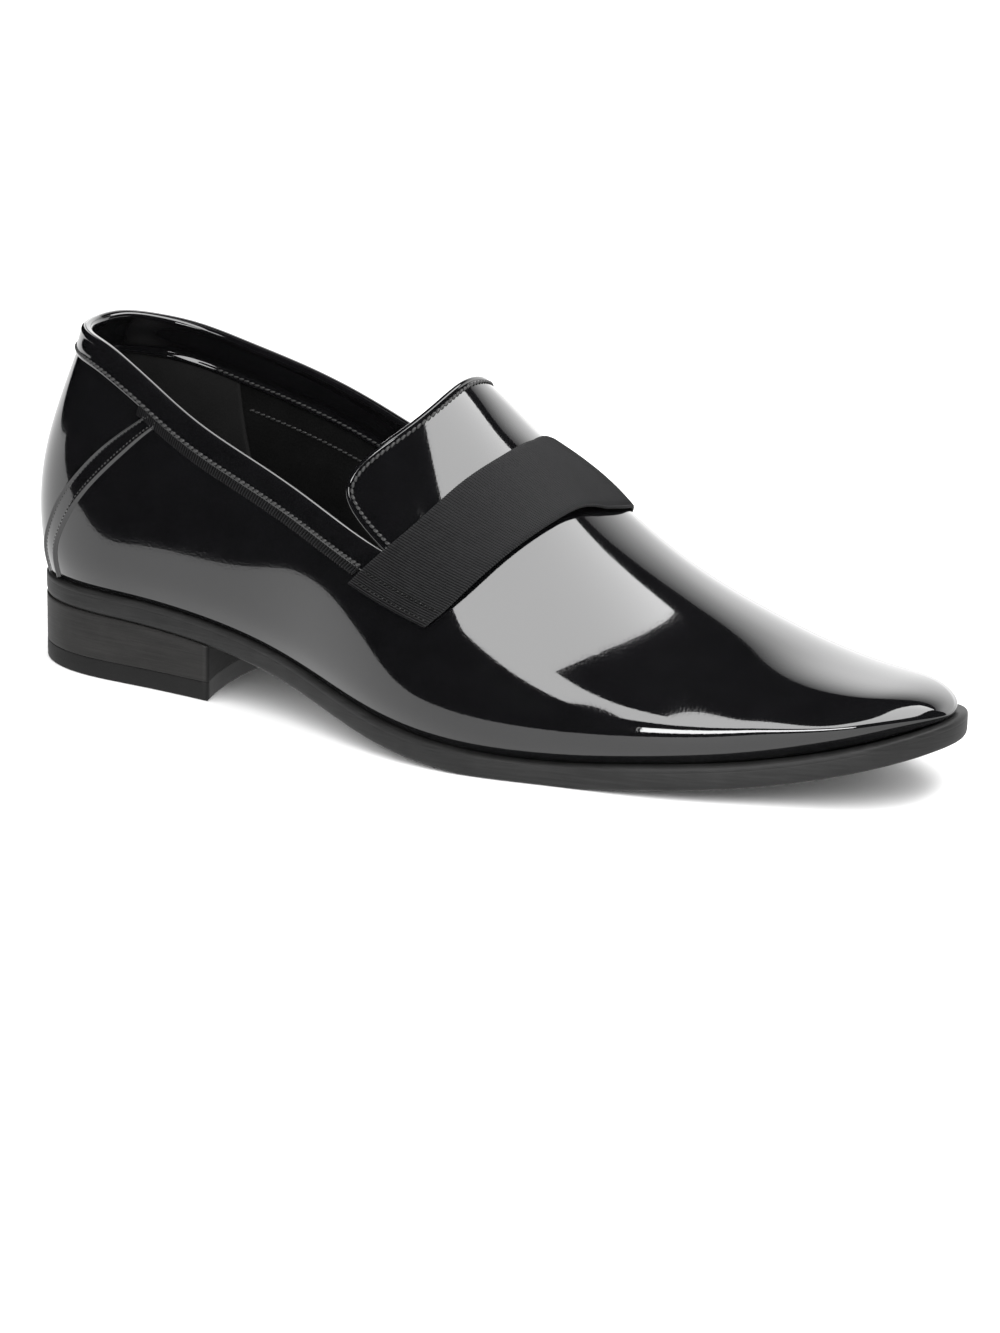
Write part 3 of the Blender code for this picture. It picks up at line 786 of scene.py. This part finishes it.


# Both ribbons carry the rib's painted shade in their colour: darker grooves, paler cords.
GROSGRAIN = ribbon_finish("grosgrain", (0.0003, 0.0003, 0.0004), (0.025, 0.025, 0.0262), RIB_PITCH)
BRAID = ribbon_finish("gimp_braid", 0.0005, (0.011, 0.011, 0.012), GIMP_PITCH)
THREAD = thread_finish("thread", 0.010, 0.060)
DULL_THREAD = thread_finish("dull_thread", 0.001, 0.006)
LINING = hide_finish("lining_leather", 0.0025, 0.006, 0.42, 1300)
GRIP = hide_finish("heel_grip_suede", 0.005, 0.011, 0.75, 2400)
print("finishes:", [m.name for m in bpy.data.materials if m.use_nodes])


# %% A piece is finished, rides on the shoe and stands for its node
def dress(piece, finish, slot, *nodes):
    """Gives a piece its material; the slot argument is not used. It rides on the one body, and replaces the
    CAD nodes named.
    """
    piece.data.materials.clear()
    piece.data.materials.append(finish)
    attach(piece, "root")
    if nodes:
        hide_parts(*nodes)
    print(piece.name, "faces:", len(piece.data.polygons))


# %% [markdown]
# ## The upper
#
# The leather is one sheet, lasted over the form: two quarters that end at the collar line, and the vamp,
# which runs on into the tongue. It is cut out as patches of the form's two shares. The patent skin and the
# lining are two sheets with a wall each, as on the bench, so that the edge of the tongue shows both. Three
# soft hollows make the leather less full than its last: a dent behind the toe box, the toe's eased
# shoulders, and the seat that the strap presses into the instep.

# %% Patches of the upper
BACK_ROWS, FORE_ROWS = 110, 120
SIDE_COLUMNS, TOP_COLUMNS = 34, 96
SKIN_WALL = 0.9 * MM
LINING_WALL = 0.8 * MM
LINING_OUT = -0.95 * MM
# Hollows: depth, then the middle's s and v, and the reach along s and v
VAMP_DENT = (0.6 * MM, 0.67, -0.27, 0.05, 0.20)
STRAP_SEAT = (1.8 * MM, 0.524, 0.08, 0.028, 0.20)
SHOULDER_EASE = 1.0 * MM
SHOULDER_DOWN = (0.38, 0.80)
SHOULDER_FROM, SHOULDER_TO = (0.60, 0.82), (0.86, 1.0)


def tongue_edge(across):
    """s and v of the tongue's free edge, from its outer root (-1) to its inner root (1)."""
    outer, inner = (float(collar(THROAT, side)) for side, _ in SIDES)
    return spline(TONGUE[:, 0], TONGUE[:, 1], np.abs(across)), across * np.where(across < 0, outer, inner)


def upper_patches(thin=1):
    """(s, v) grids: quarters from the collar to the feather, the forepart's sides, and the vamp between."""
    back_s = THROAT * np.linspace(0, 1, BACK_ROWS // thin + 1)
    fore_s = np.linspace(THROAT, 1, FORE_ROWS // thin + 1)
    down = np.linspace(0, 1, SIDE_COLUMNS // thin + 1)
    patches = []
    for side, _ in SIDES:
        for s in (back_s, fore_s):
            edge = collar(np.minimum(s, THROAT), side)
            v = side * (edge[:, None] + (1 - edge[:, None]) * down)
            order = slice(None, None, -1) if side < 0 else slice(None)
            patches.append((np.broadcast_to(s[:, None], v.shape), v[:, order]))
    start, v = tongue_edge(np.linspace(-1, 1, TOP_COLUMNS // thin + 1))
    step = (fore_s - THROAT) / (1 - THROAT)
    s = start + step[:, None] * (1 - start)
    patches.append((s, np.broadcast_to(v, s.shape)))
    return patches


def hollow(s, v, depth, at_s, at_v, reach_s, reach_v):
    """out = -depth * exp(-((s - at_s) / reach_s) ** 2 - ((v - at_v) / reach_v) ** 2)."""
    return -depth * bump_at(s - at_s, reach_s) * bump_at(v - at_v, reach_v)


def lasted(s, v):
    """The leather's height over the form: two hollows, and the shoulders eased by
    climb(|v|) * climb(s) * fall(s)."""
    shoulder = climb(np.abs(v), *SHOULDER_DOWN) * climb(s, *SHOULDER_FROM) * fall(s, *SHOULDER_TO)
    return hollow(s, v, *VAMP_DENT) + hollow(s, v, *STRAP_SEAT) - SHOULDER_EASE * shoulder


def lasted_sheet(name, out, thickness, thin=1):
    """The patches of the upper as one sheet at a distance from the form, its wall grown inwards."""
    points, faces, start = [], [], 0
    for s, v in upper_patches(thin):
        points.append(skin(s, v, out + lasted(s, v)).reshape(-1, 3))
        faces.append(grid_faces(*s.shape, start))
        start += s.size
    piece = put(name, np.concatenate(points), np.concatenate(faces))
    wall = piece.modifiers.new("wall", "SOLIDIFY")
    wall.thickness = thickness
    wall.offset = -1
    return piece


dress(lasted_sheet("patent_skin", 0, SKIN_WALL), PATENT, "patent_leather", "upper")
dress(lasted_sheet("lining", LINING_OUT, LINING_WALL, 2), LINING, "lining_leather", "upper")


# %% [markdown]
# ## The collar
#
# The topline is bound with a band of patent leather: it starts inside, rolls over the edge in a bead and is
# stitched down outside. Its profile is a short list of points, given as millimetres below the collar line
# and out from the form, and the profile is carried along the collar. A curve with a bevel could do this too,
# but the band has to lean with the leather, and the form already knows how.

# %% The band's profile
BAND_PROFILE = np.array([
    (8.55, 0.02), (8.52, 0.32), (8.20, 0.52), (7.20, 0.58), (6.00, 0.68), (4.20, 0.82), (2.60, 0.92),
    (1.90, 0.98), (1.05, 1.02), (0.30, 0.60), (-0.02, -0.45), (-0.02, -1.55), (0.45, -2.45), (1.30, -2.75),
    (2.40, -2.55), (4.50, -2.30), (8.00, -2.25), (11.6, -2.30), (12.3, -2.85), (13.2, -2.85), (13.5, -1.90),
]) * MM
BAND_STEPS = 64
BAND_ROWS = 150
BAND_STOP = 1.5 * MM
BAND_UNDER = 2.5 * MM
UNDER_FROM = 0.985
UNDER_HEIGHT = 0.15 * MM
FACING_FROM = -1.0 * MM
FACING_STOP = THROAT - 0.004
SETTLE_ROUNDS = 20


def down_line(s, side, depth):
    """|v| at a depth below the collar line: collar + depth / girth."""
    return collar(s, side) + depth / girth(s, side)


def band_stop(side, depth):
    """s where the band meets the strap's rear edge, at each depth of its profile."""
    stop = np.full(np.shape(depth), THROAT)
    for _ in range(SETTLE_ROUNDS):
        strap_rear = edge_mix(STRAP, down_line(stop, side, np.maximum(depth, 0)), 0)
        stop = strap_rear - BAND_STOP * s_per_length(stop)
    return stop


def profile_points(table, steps):
    """A profile read at equal steps of its own length through a spline."""
    run = run_along(table)
    want = np.linspace(0, run[-1], steps)
    return spline(run, table[:, 0], want), spline(run, table[:, 1], want)


# %% Roll the band round the collar
def band_half(side):
    """One side of the band. Its facing runs on to the throat, and its last rows dive under the strap."""
    depth, height = profile_points(BAND_PROFILE, BAND_STEPS)
    stop = band_stop(side, depth)
    stop = np.where(height < FACING_FROM, np.maximum(stop, FACING_STOP), stop)
    share = np.linspace(0, 1, BAND_ROWS)[:, None]
    under = np.clip((share - UNDER_FROM) / (1 - UNDER_FROM), 0, 1)
    s = stop * share + under * BAND_UNDER * s_per_length(THROAT - 0.012)
    v = side * down_line(s, side, depth)
    low = np.minimum(height, UNDER_HEIGHT)
    return skin(s, v, height + (low - height) * under)


band = np.concatenate([band_half(-1)[::-1], band_half(1)[1:]])
collar_band = put("collar_band_roll", band, grid_faces(*band.shape[:2]))
dress(collar_band, PATENT, "patent_leather", "collar_band")


# %% Stitches along the band, and along the lining below the facing
def collar_path(side, start, finish, depth, out, count=400):
    """A line parallel to the collar, and the form's normal along it."""
    s = np.linspace(start, finish, count)
    v = side * down_line(s, side, depth)
    return skin(s, v, out), outward(s, v) * np.sign(out)


for side, label in SIDES:
    finish_s = float(band_stop(side, 7.4 * MM))
    path, up = collar_path(side, 0.002, finish_s, 7.3 * MM, 0.70 * MM)
    dress(stitches(f"band_stitches_{label}", path, up, width=0.95 * MM), THREAD, "patent_leather")
    path, up = collar_path(side, 0.262, THROAT, 21 * MM, -1.85 * MM, 200)
    dress(stitches(f"lining_stitches_{label}", path, up), THREAD, "lining_leather")
    path, up = collar_path(side, 0.22, THROAT - 0.012, 12.0 * MM, -2.62 * MM, 200)
    dress(stitches(f"facing_stitches_{label}", path, up), THREAD, "lining_leather")


# %% [markdown]
# From the counter seam forward a narrow corded braid, the gimp, peeps out under the band. Its cords stand
# across it, so its height is a wave along its length, and its lower edge follows the same wave.

# %% The gimp
GIMP_START = 0.243
GIMP_TOP, GIMP_WIDTH = 8.2 * MM, 3.0 * MM
GIMP_MIDDLE = 10 * MM
CORD_ROWS = 8
GIMP_ACROSS = np.array([0, 0.12, 0.4, 0.7, 0.92, 1.0])
GIMP_CROWN = np.array([0.5, 1.0, 1.0, 1.0, 0.8, 0.2])


def gimp(name, side):
    """Corded braid: wave = cos(2 pi run / pitch), out = 0.10 + (0.38 + 0.30 * wave) * crown mm, and the
    lower edge hangs 0.2 * wave mm deeper."""
    stop = float(band_stop(side, GIMP_MIDDLE))
    middle = collar_path(side, GIMP_START, stop, GIMP_MIDDLE, 0.3 * MM)[0]
    length = run_along(middle)[-1]
    share = np.linspace(0, 1, int(length / GIMP_PITCH) * CORD_ROWS + 1)[:, None]
    wave = np.cos(2 * np.pi * share * length / GIMP_PITCH)
    deep = GIMP_TOP + (GIMP_WIDTH + 0.2 * MM * wave) * GIMP_ACROSS
    s = GIMP_START + (band_stop(side, GIMP_TOP + GIMP_WIDTH * GIMP_ACROSS) - GIMP_START) * share
    v = side * down_line(s, side, deep)
    out = 0.10 * MM + (0.38 * MM + 0.30 * MM * wave) * GIMP_CROWN
    uv = np.stack(np.broadcast_arrays(share * length, deep), -1)
    return block(name, [skin(s, v, out), skin(s, v, 0.02 * MM)], uv)


for side, label in SIDES:
    dress(gimp(f"gimp_{label}", side), BRAID, "grosgrain")


# %% [markdown]
# ## The counter seams
#
# The back of the quarter is a separate piece, lapped and corded. Two round cords stand a few millimetres
# apart, and the leather sinks between them. It is a strip whose height across is two humps.

# %% The counter seams
CORD_AT, CORD_WIDTH = 0.12, 0.045
SEAM_TOP = 10 * MM
SEAM_ACROSS = np.array([0, 0.03, 0.06, 0.09, 0.12, 0.15, 0.19, 0.24, 0.32, 0.42, 0.50,
                        0.58, 0.68, 0.76, 0.81, 0.85, 0.88, 0.91, 0.94, 0.97, 1.0])


def counter_strip(name, side):
    """out = 0.04 + 0.22 * rim + 0.70 * (hump at the rear cord + hump at the front cord) mm across the
    seam, where rim climbs from 0 at both edges to 1."""
    across = SEAM_ACROSS
    start = np.full(len(across), STRAP[-1, 0])
    for _ in range(SETTLE_ROUNDS):
        start = down_line(edge_mix(SEAM, start, across), side, SEAM_TOP)
    v = start + (0.998 - start) * np.linspace(0, 1, 150)[:, None]
    s = edge_mix(SEAM, v, across)
    cords = bump_at(across - CORD_AT, CORD_WIDTH) + bump_at(1 - across - CORD_AT, CORD_WIDTH)
    rim = np.clip(np.minimum(across, 1 - across) / 0.05, 0, 1)
    out = (0.04 + rim * 0.22 + 0.70 * cords) * MM
    return block(name, [skin(s, side * v, out), skin(s, side * v, 0.02 * MM)])


def seam_path(side, across, out, count=200):
    """A line down the counter seam at a share of its width."""
    start = float(down_line(np.array(0.24), side, 11 * MM))
    v = np.linspace(start, 0.985, count)
    s = edge_mix(SEAM, v, across)
    return skin(s, side * v, out), outward(s, side * v)


for side, label in SIDES:
    for row, across in enumerate((0.24, 0.76)):
        path, up = seam_path(side, across, 0.27 * MM)
        dress(stitches(f"seam_stitches_{label}_{row + 1}", path, up, pitch=1.5 * MM, length=1.2 * MM,
                       width=0.45 * MM, turn=0.1), THREAD, "patent_leather")

dress(counter_strip("counter_seam_outer", -1), PATENT, "patent_leather", "counter_outer")
dress(counter_strip("counter_seam_inner", 1), PATENT, "patent_leather", "counter_inner")


# %% [markdown]
# ## The tongue's edge
#
# The vamp's leather is turned over along the tongue, which leaves a thin round rim with a row of stitches
# close inside it. The rim is a tube along the free edge.

# %% Rim and stitches of the tongue
def tongue_line(inside, out, count=360):
    """A line along the tongue's edge, inside it by a distance, with the normal and the way inwards."""
    s, v = tongue_edge(np.linspace(-1, 1, count))
    edge = skin(s, v, out)
    normal = outward(s, v)
    inwards = unit(np.cross(normal, unit(np.gradient(edge, axis=0))))
    inwards *= np.sign((inwards * (skin(s + 0.002, v, out) - edge)).sum(-1, keepdims=True))
    return edge + inwards * inside, normal, inwards


path, up, inwards = tongue_line(0.55 * MM, -0.85 * MM)
dress(tube("tongue_rim", path, inwards, up, 1.05 * MM), PATENT, "patent_leather")
path, up, inwards = tongue_line(2.3 * MM, 0.08 * MM)
dress(stitches("tongue_stitches", path, up, width=1.0 * MM), THREAD, "patent_leather")


# %% [markdown]
# ## The strap
#
# A wide grosgrain ribbon crosses the vamp and is stitched down at both ends with two rows. Its front edge
# stands off the leather, over the ridge it bows up across its width, and over the inner shoulder it swings
# forwards. Each rib is modelled: one wave of height along the strap for every cord.

# %% The strap
RIB_HEIGHT = 0.21 * MM
RIB_STEPS = 6
RIBBON = 1.2 * MM
RIBBON_WIDTH = 17 * MM
RIBBON_EDGE = 0.015
FLAT_POINTS, EDGE_POINTS = 16, 7
STRAP_END = STRAP[-1, 0]
# Where each form of the strap climbs and falls, as windows of v
STRAP_STAND, STAND_CLIMB, STAND_FALL = 1.7 * MM, (-0.66, -0.50), (-0.15, 0.05)
STRAP_BOW, BOW_CLIMB, BOW_FALL = 1.3 * MM, (-0.25, 0.10), (0.30, 0.60)
STRAP_SWING, FRONT_CLIMB, REAR_CLIMB = 0.011, (-0.20, 0.20), (0.05, 0.40)


def strap_rows():
    """v at equal steps of arc along the strap's middle line, RIB_STEPS to a rib, and the line's length."""
    v = np.linspace(-STRAP_END, STRAP_END, 600)
    run = run_along(skin(edge_mix(STRAP, np.abs(v), 0.5), v, 1.5 * MM))
    ribs = int(run[-1] / RIB_PITCH)
    return np.interp(np.linspace(0, run[-1], ribs * RIB_STEPS + 1), run, v), run[-1]


def strap_low(v, across):
    """The ribbon's underside: clear of the leather, higher at its front edge, most on the outer side, and
    bowed across its width over the instep's ridge: STRAP_BOW * 4 * across * (1 - across)."""
    front = STRAP_FRONT_LIFT * (1 - 0.8 * climb(v, 0.0, 0.30))
    front = front + STRAP_STAND * climb(v, *STAND_CLIMB) * fall(v, *STAND_FALL)
    bow = STRAP_BOW * climb(v, *BOW_CLIMB) * fall(v, *BOW_FALL) * 4 * across * (1 - across)
    seat = hollow(edge_mix(STRAP, np.abs(v), across), v, *STRAP_SEAT)
    return CLEAR + front * across ** 2 + bow + seat


def strap_s(v, across):
    """s over the ribbon: the strap's table, swung forwards over the inner shoulder, its front edge first,
    and half as far at its inner end."""
    swing = across * climb(v, *FRONT_CLIMB) + (1 - across) * climb(v, *REAR_CLIMB)
    swing = swing * (1 - 0.5 * climb(v, 0.35, STRAP_END))
    return edge_mix(STRAP, np.abs(v), across) + STRAP_SWING * swing


def ribbed_strap():
    """A closed ribbon: out = low + RIBBON / 2 * (1 + 0.92 * level) + rib wave, where level runs from 1 on
    the top to -1 underneath, and sin(turn) round both edges."""
    v, length = strap_rows()
    v = v[:, None]
    turn = np.linspace(-np.pi / 2, np.pi / 2, EDGE_POINTS)
    bulge, lift = np.cos(turn), np.sin(turn)
    flat, full = np.linspace(0.03, 0.97, FLAT_POINTS), np.ones(FLAT_POINTS)
    front_edge, rear_edge = 0.97 + RIBBON_EDGE * bulge, RIBBON_EDGE * (1 - bulge)
    across = np.concatenate([flat, front_edge, flat[::-1], rear_edge])
    level = np.concatenate([full, lift[::-1], -full, lift])
    rib = np.concatenate([full, bulge, 0.3 * full, bulge]) * np.where(level < 0, -1, 1)
    wave = np.cos(2 * np.pi * np.arange(len(v)) / RIB_STEPS)[:, None]
    out = strap_low(v, across) + RIBBON / 2 * (1 + 0.92 * level) + RIB_HEIGHT * wave * rib
    points = skin(strap_s(v, across), v, out)
    ends = np.broadcast_to(points[[0, -1]].mean(1, keepdims=True), (2, *points.shape[1:]))
    points = np.concatenate([ends[:1], points, ends[1:]])
    along = np.linspace(0, length, len(points))[:, None]
    uv = np.stack(np.broadcast_arrays(along, across * RIBBON_WIDTH), -1)
    return put("grosgrain_strap", points, grid_faces(*points.shape[:2], wrap=True), outside=True, uv=uv)


dress(ribbed_strap(), GROSGRAIN, "grosgrain", "strap")


# %% Stitches at both ends of the strap
def strap_row(side, back, count=120):
    """A line across the strap, parallel to its end and back from it, on top of the ribs."""
    across = np.linspace(0.06, 0.94, count)
    v = side * np.full(count, STRAP_END - back / float(girth(np.array(0.49), side)))
    s = strap_s(v, across)
    out = strap_low(v, across) + RIBBON * 1.2
    return skin(s, v, out), outward(s, v)


for side, label in SIDES:
    for row, back in enumerate((1.8 * MM, 6.0 * MM)):
        path, up = strap_row(side, back)
        dress(stitches(f"strap_stitches_{label}_{row + 1}", path, up, pitch=1.7 * MM, length=1.5 * MM,
                       width=0.6 * MM), DULL_THREAD, "grosgrain")


# %% [markdown]
# ## The sole and the heel
#
# The sole is 7 mm of leather with a rounded, inked edge and a fine crease under its upper rim. The heel is a
# stack of leather lifts over a rubber one. Each is a block through outlines: its edge profile is a table of
# how far each outline stands in, and how high it lies between the bottom (0) and the top (1).

# %% The sole
SOLE_EDGE_PROFILE = np.array([
    (1.60, 1.00), (0.90, 1.00), (0.40, 0.985), (0.12, 0.94), (0.00, 0.87), (0.00, 0.80), (0.02, 0.775),
    (0.06, 0.760), (0.02, 0.745), (0.00, 0.72), (0.00, 0.60), (0.00, 0.40), (0.04, 0.25), (0.22, 0.12),
    (0.60, 0.03), (1.10, 0.00), (1.80, 0.00),
])


def sole_bottom(height):
    """The sole's lower face below the feather, pressed flat where the forefoot treads."""
    return np.maximum(height - SOLE - TREAD_SINK, 0)


def outsole():
    """Outlines from the top rim to the tread: z = bottom + (top - bottom) * share."""
    s = np.linspace(0, 1, 181)
    full = plan_grid(s, margin(s), 9)
    top = full[..., 2] - CLEAR
    bottom = sole_bottom(full[..., 2])
    rings = []
    for inset, share in SOLE_EDGE_PROFILE:
        grid = plan_grid(s, margin(s) - inset * MM, 9)
        rings.append(lowered(grid, bottom + (top - bottom) * share) + SHIFT)
    return block("leather_sole", rings)


dress(outsole(), SOLE_EDGE, "sole_leather", "outsole")


# %% The heel
STACK_PROFILE = np.array([
    (1.20, 1.00), (0.10, 1.00), (0.00, 0.985), (0.00, 0.93), (0.00, 0.50), (0.00, 0.05), (0.00, 0.015),
    (0.08, 0.00), (1.20, 0.00),
])
LIFT_PROFILE = np.array([
    (1.20, 1.00), (0.08, 1.00), (0.00, 0.98), (0.00, 0.90), (0.00, 0.50), (0.00, 0.10), (0.08, 0.04),
    (0.35, 0.00), (1.20, 0.00),
])
STACK_CLEAR = 0.02 * MM


def heel_block(name, profile, low, high=None):
    """The heel's outline, hollow at the breast, through the insets of a profile, up to the sole or to a
    height."""
    s = np.linspace(0, 0.5, 200)
    breast = np.interp(HEEL_LENGTH, surface(s, -1.0)[:, 0], s)
    s = breast * np.linspace(0, 1, 61) ** 1.2
    columns = 25
    bow = 1 - np.linspace(-1, 1, columns) ** 2
    line = surface(np.linspace(0, 1, 400), -1.0)
    rings = []
    ahead = np.linspace(0, 1, len(s))[:, None]
    for inset, share in profile:
        grid = plan_grid(s, margin(s) - inset * MM, columns)
        grid[..., 0] -= BREAST_HOLLOW * bow * ahead ** 2 + inset * MM * ahead ** 8
        seat = sole_bottom(np.interp(grid[..., 0], line[:, 0], line[:, 2])) - STACK_CLEAR
        top = seat if high is None else high
        rings.append(lowered(grid, low + (top - low) * share) + SHIFT)
    return block(name, rings)


stacked_heel = heel_block("stacked_heel", STACK_PROFILE, HEEL_LIFT + STACK_CLEAR)
dress(stacked_heel, HEEL_EDGE, "heel_leather", "heel_stack")
rubber_lift = heel_block("rubber_lift", LIFT_PROFILE, 0.0, HEEL_LIFT)
dress(rubber_lift, HEEL_RUBBER, "heel_rubber", "heel_lift")


# %% [markdown]
# ## Inside
#
# Little of the inside shows, but it is what a foot meets: a leather sock on the insole, a suede grip round
# the heel with a slanting front edge, and the lining.

# %% Sock and heel grip
SOCK_PROFILE = ((2.0, 1.0), (0.8, 0.98), (0.15, 0.85), (0.0, 0.6), (0.0, 0.0))
GRIP_FRONT, GRIP_SLANT = 0.247, 0.050
GRIP_TOP = 12.5 * MM
GRIP_OUT, GRIP_IN = -1.85 * MM, -2.25 * MM


def sock():
    """The insole's outline with a soft rounded rim and a slight dish along its middle."""
    shares = np.linspace(0, 1, 400)
    stop = np.interp(LENGTH - FORE_MARGIN - INSOLE_TOE_STOP, surface(shares, 0.0)[:, 0], shares)
    s = stop * np.linspace(0, 1, 121)
    rings = []
    for inset, share in SOCK_PROFILE:
        grid = plan_grid(s, -WALL - INSOLE_GAP - inset * MM, 25)
        rings.append(lowered(grid, grid[..., 2] + INSOLE * share) + SHIFT)
    return block("sock", rings)


def heel_grip():
    """A suede lining round the heel, from the facing down to the sock."""
    down = np.linspace(0, 1, 30)
    s = (GRIP_FRONT + GRIP_SLANT * down) * np.linspace(0, 1, 60)[:, None]
    outer_top, inner_top = (down_line(s, side, GRIP_TOP) for side, _ in SIDES)
    outer = -(outer_top + (0.97 - outer_top) * down)
    inner = inner_top + (0.97 - inner_top) * down
    s = np.concatenate([s[::-1], s[1:]])
    v = np.concatenate([outer[::-1], inner[1:]])
    return block("heel_grip", [skin(s, v, GRIP_OUT), skin(s, v, GRIP_IN)])


dress(sock(), LINING, "lining_leather", "insole")
dress(heel_grip(), GRIP, "lining_leather")


# %% [markdown]
# ## The stage
#
# A plain pale floor for the eye, and two cards that only reflections see: the table, whose near edge comes
# closer beside the forepart, and the white sweep behind the shoe, which fades with height. They aren't part
# of the object.

# %% Floor and cards
FLOOR_HALF, FLOOR_ALBEDO = 6, 0.85
CARD_DROP = 0.0005
TABLE_FAR, TABLE_RADIANCE = 1.5, 1.0
TABLE_EDGE = ((-1.2, -0.19), (-0.30, -0.185), (-0.19, -0.165), (-0.05, -0.12), (0.0, -0.12), (1.2, -0.12))
SWEEP_REACH, SWEEP_TURN, SWEEP_TOP, SWEEP_RADIANCE = 1.5, 46, 1.25, 1.5
SWEEP_FADE = (0.60, 1.50)
NO_FADE = (9, 10)


def flat_card(name, points, radiance=None, fade=NO_FADE):
    """A grid of faces that scatters light, or that glows and fades between two heights."""
    points = np.asarray(points, float)
    made = put(name, points, grid_faces(*points.shape[:2]), merge=False)
    finish = Finish(name, Roughness=0.6)
    if radiance is None:
        finish.colour(finish.noise(finish.place(), 3.0, 2.0), FLOOR_ALBEDO, FLOOR_ALBEDO * 0.99)
        made.visible_glossy = False
    else:
        finish.shader.inputs["Base Color"].default_value = rgba(0)
        finish.colour(finish.part(finish.place(), "Z").step(*fade), 1, 0, "Emission Color")
        finish.shader.inputs["Emission Strength"].default_value = radiance
        made.visible_camera = made.visible_diffuse = made.visible_shadow = False
        made.visible_transmission = False
    made.data.materials.append(finish.made)
    print(name, "faces:", len(made.data.polygons))


ends = (-FLOOR_HALF, FLOOR_HALF)
flat_card("floor", [[(x, y, 0) for y in ends] for x in ends])
table = [[(x, y, -CARD_DROP), (x, TABLE_FAR, -CARD_DROP)] for x, y in TABLE_EDGE]
flat_card("table_card", table, TABLE_RADIANCE)
turn = np.radians(np.linspace(-SWEEP_TURN, SWEEP_TURN, 17))
foot = np.stack([np.sin(turn), np.cos(turn), np.zeros(17)], -1) * SWEEP_REACH
sweep = np.stack([foot, foot + (0, 0, SWEEP_TOP)], 1)
flat_card("sweep_card", sweep, SWEEP_RADIANCE, SWEEP_FADE)
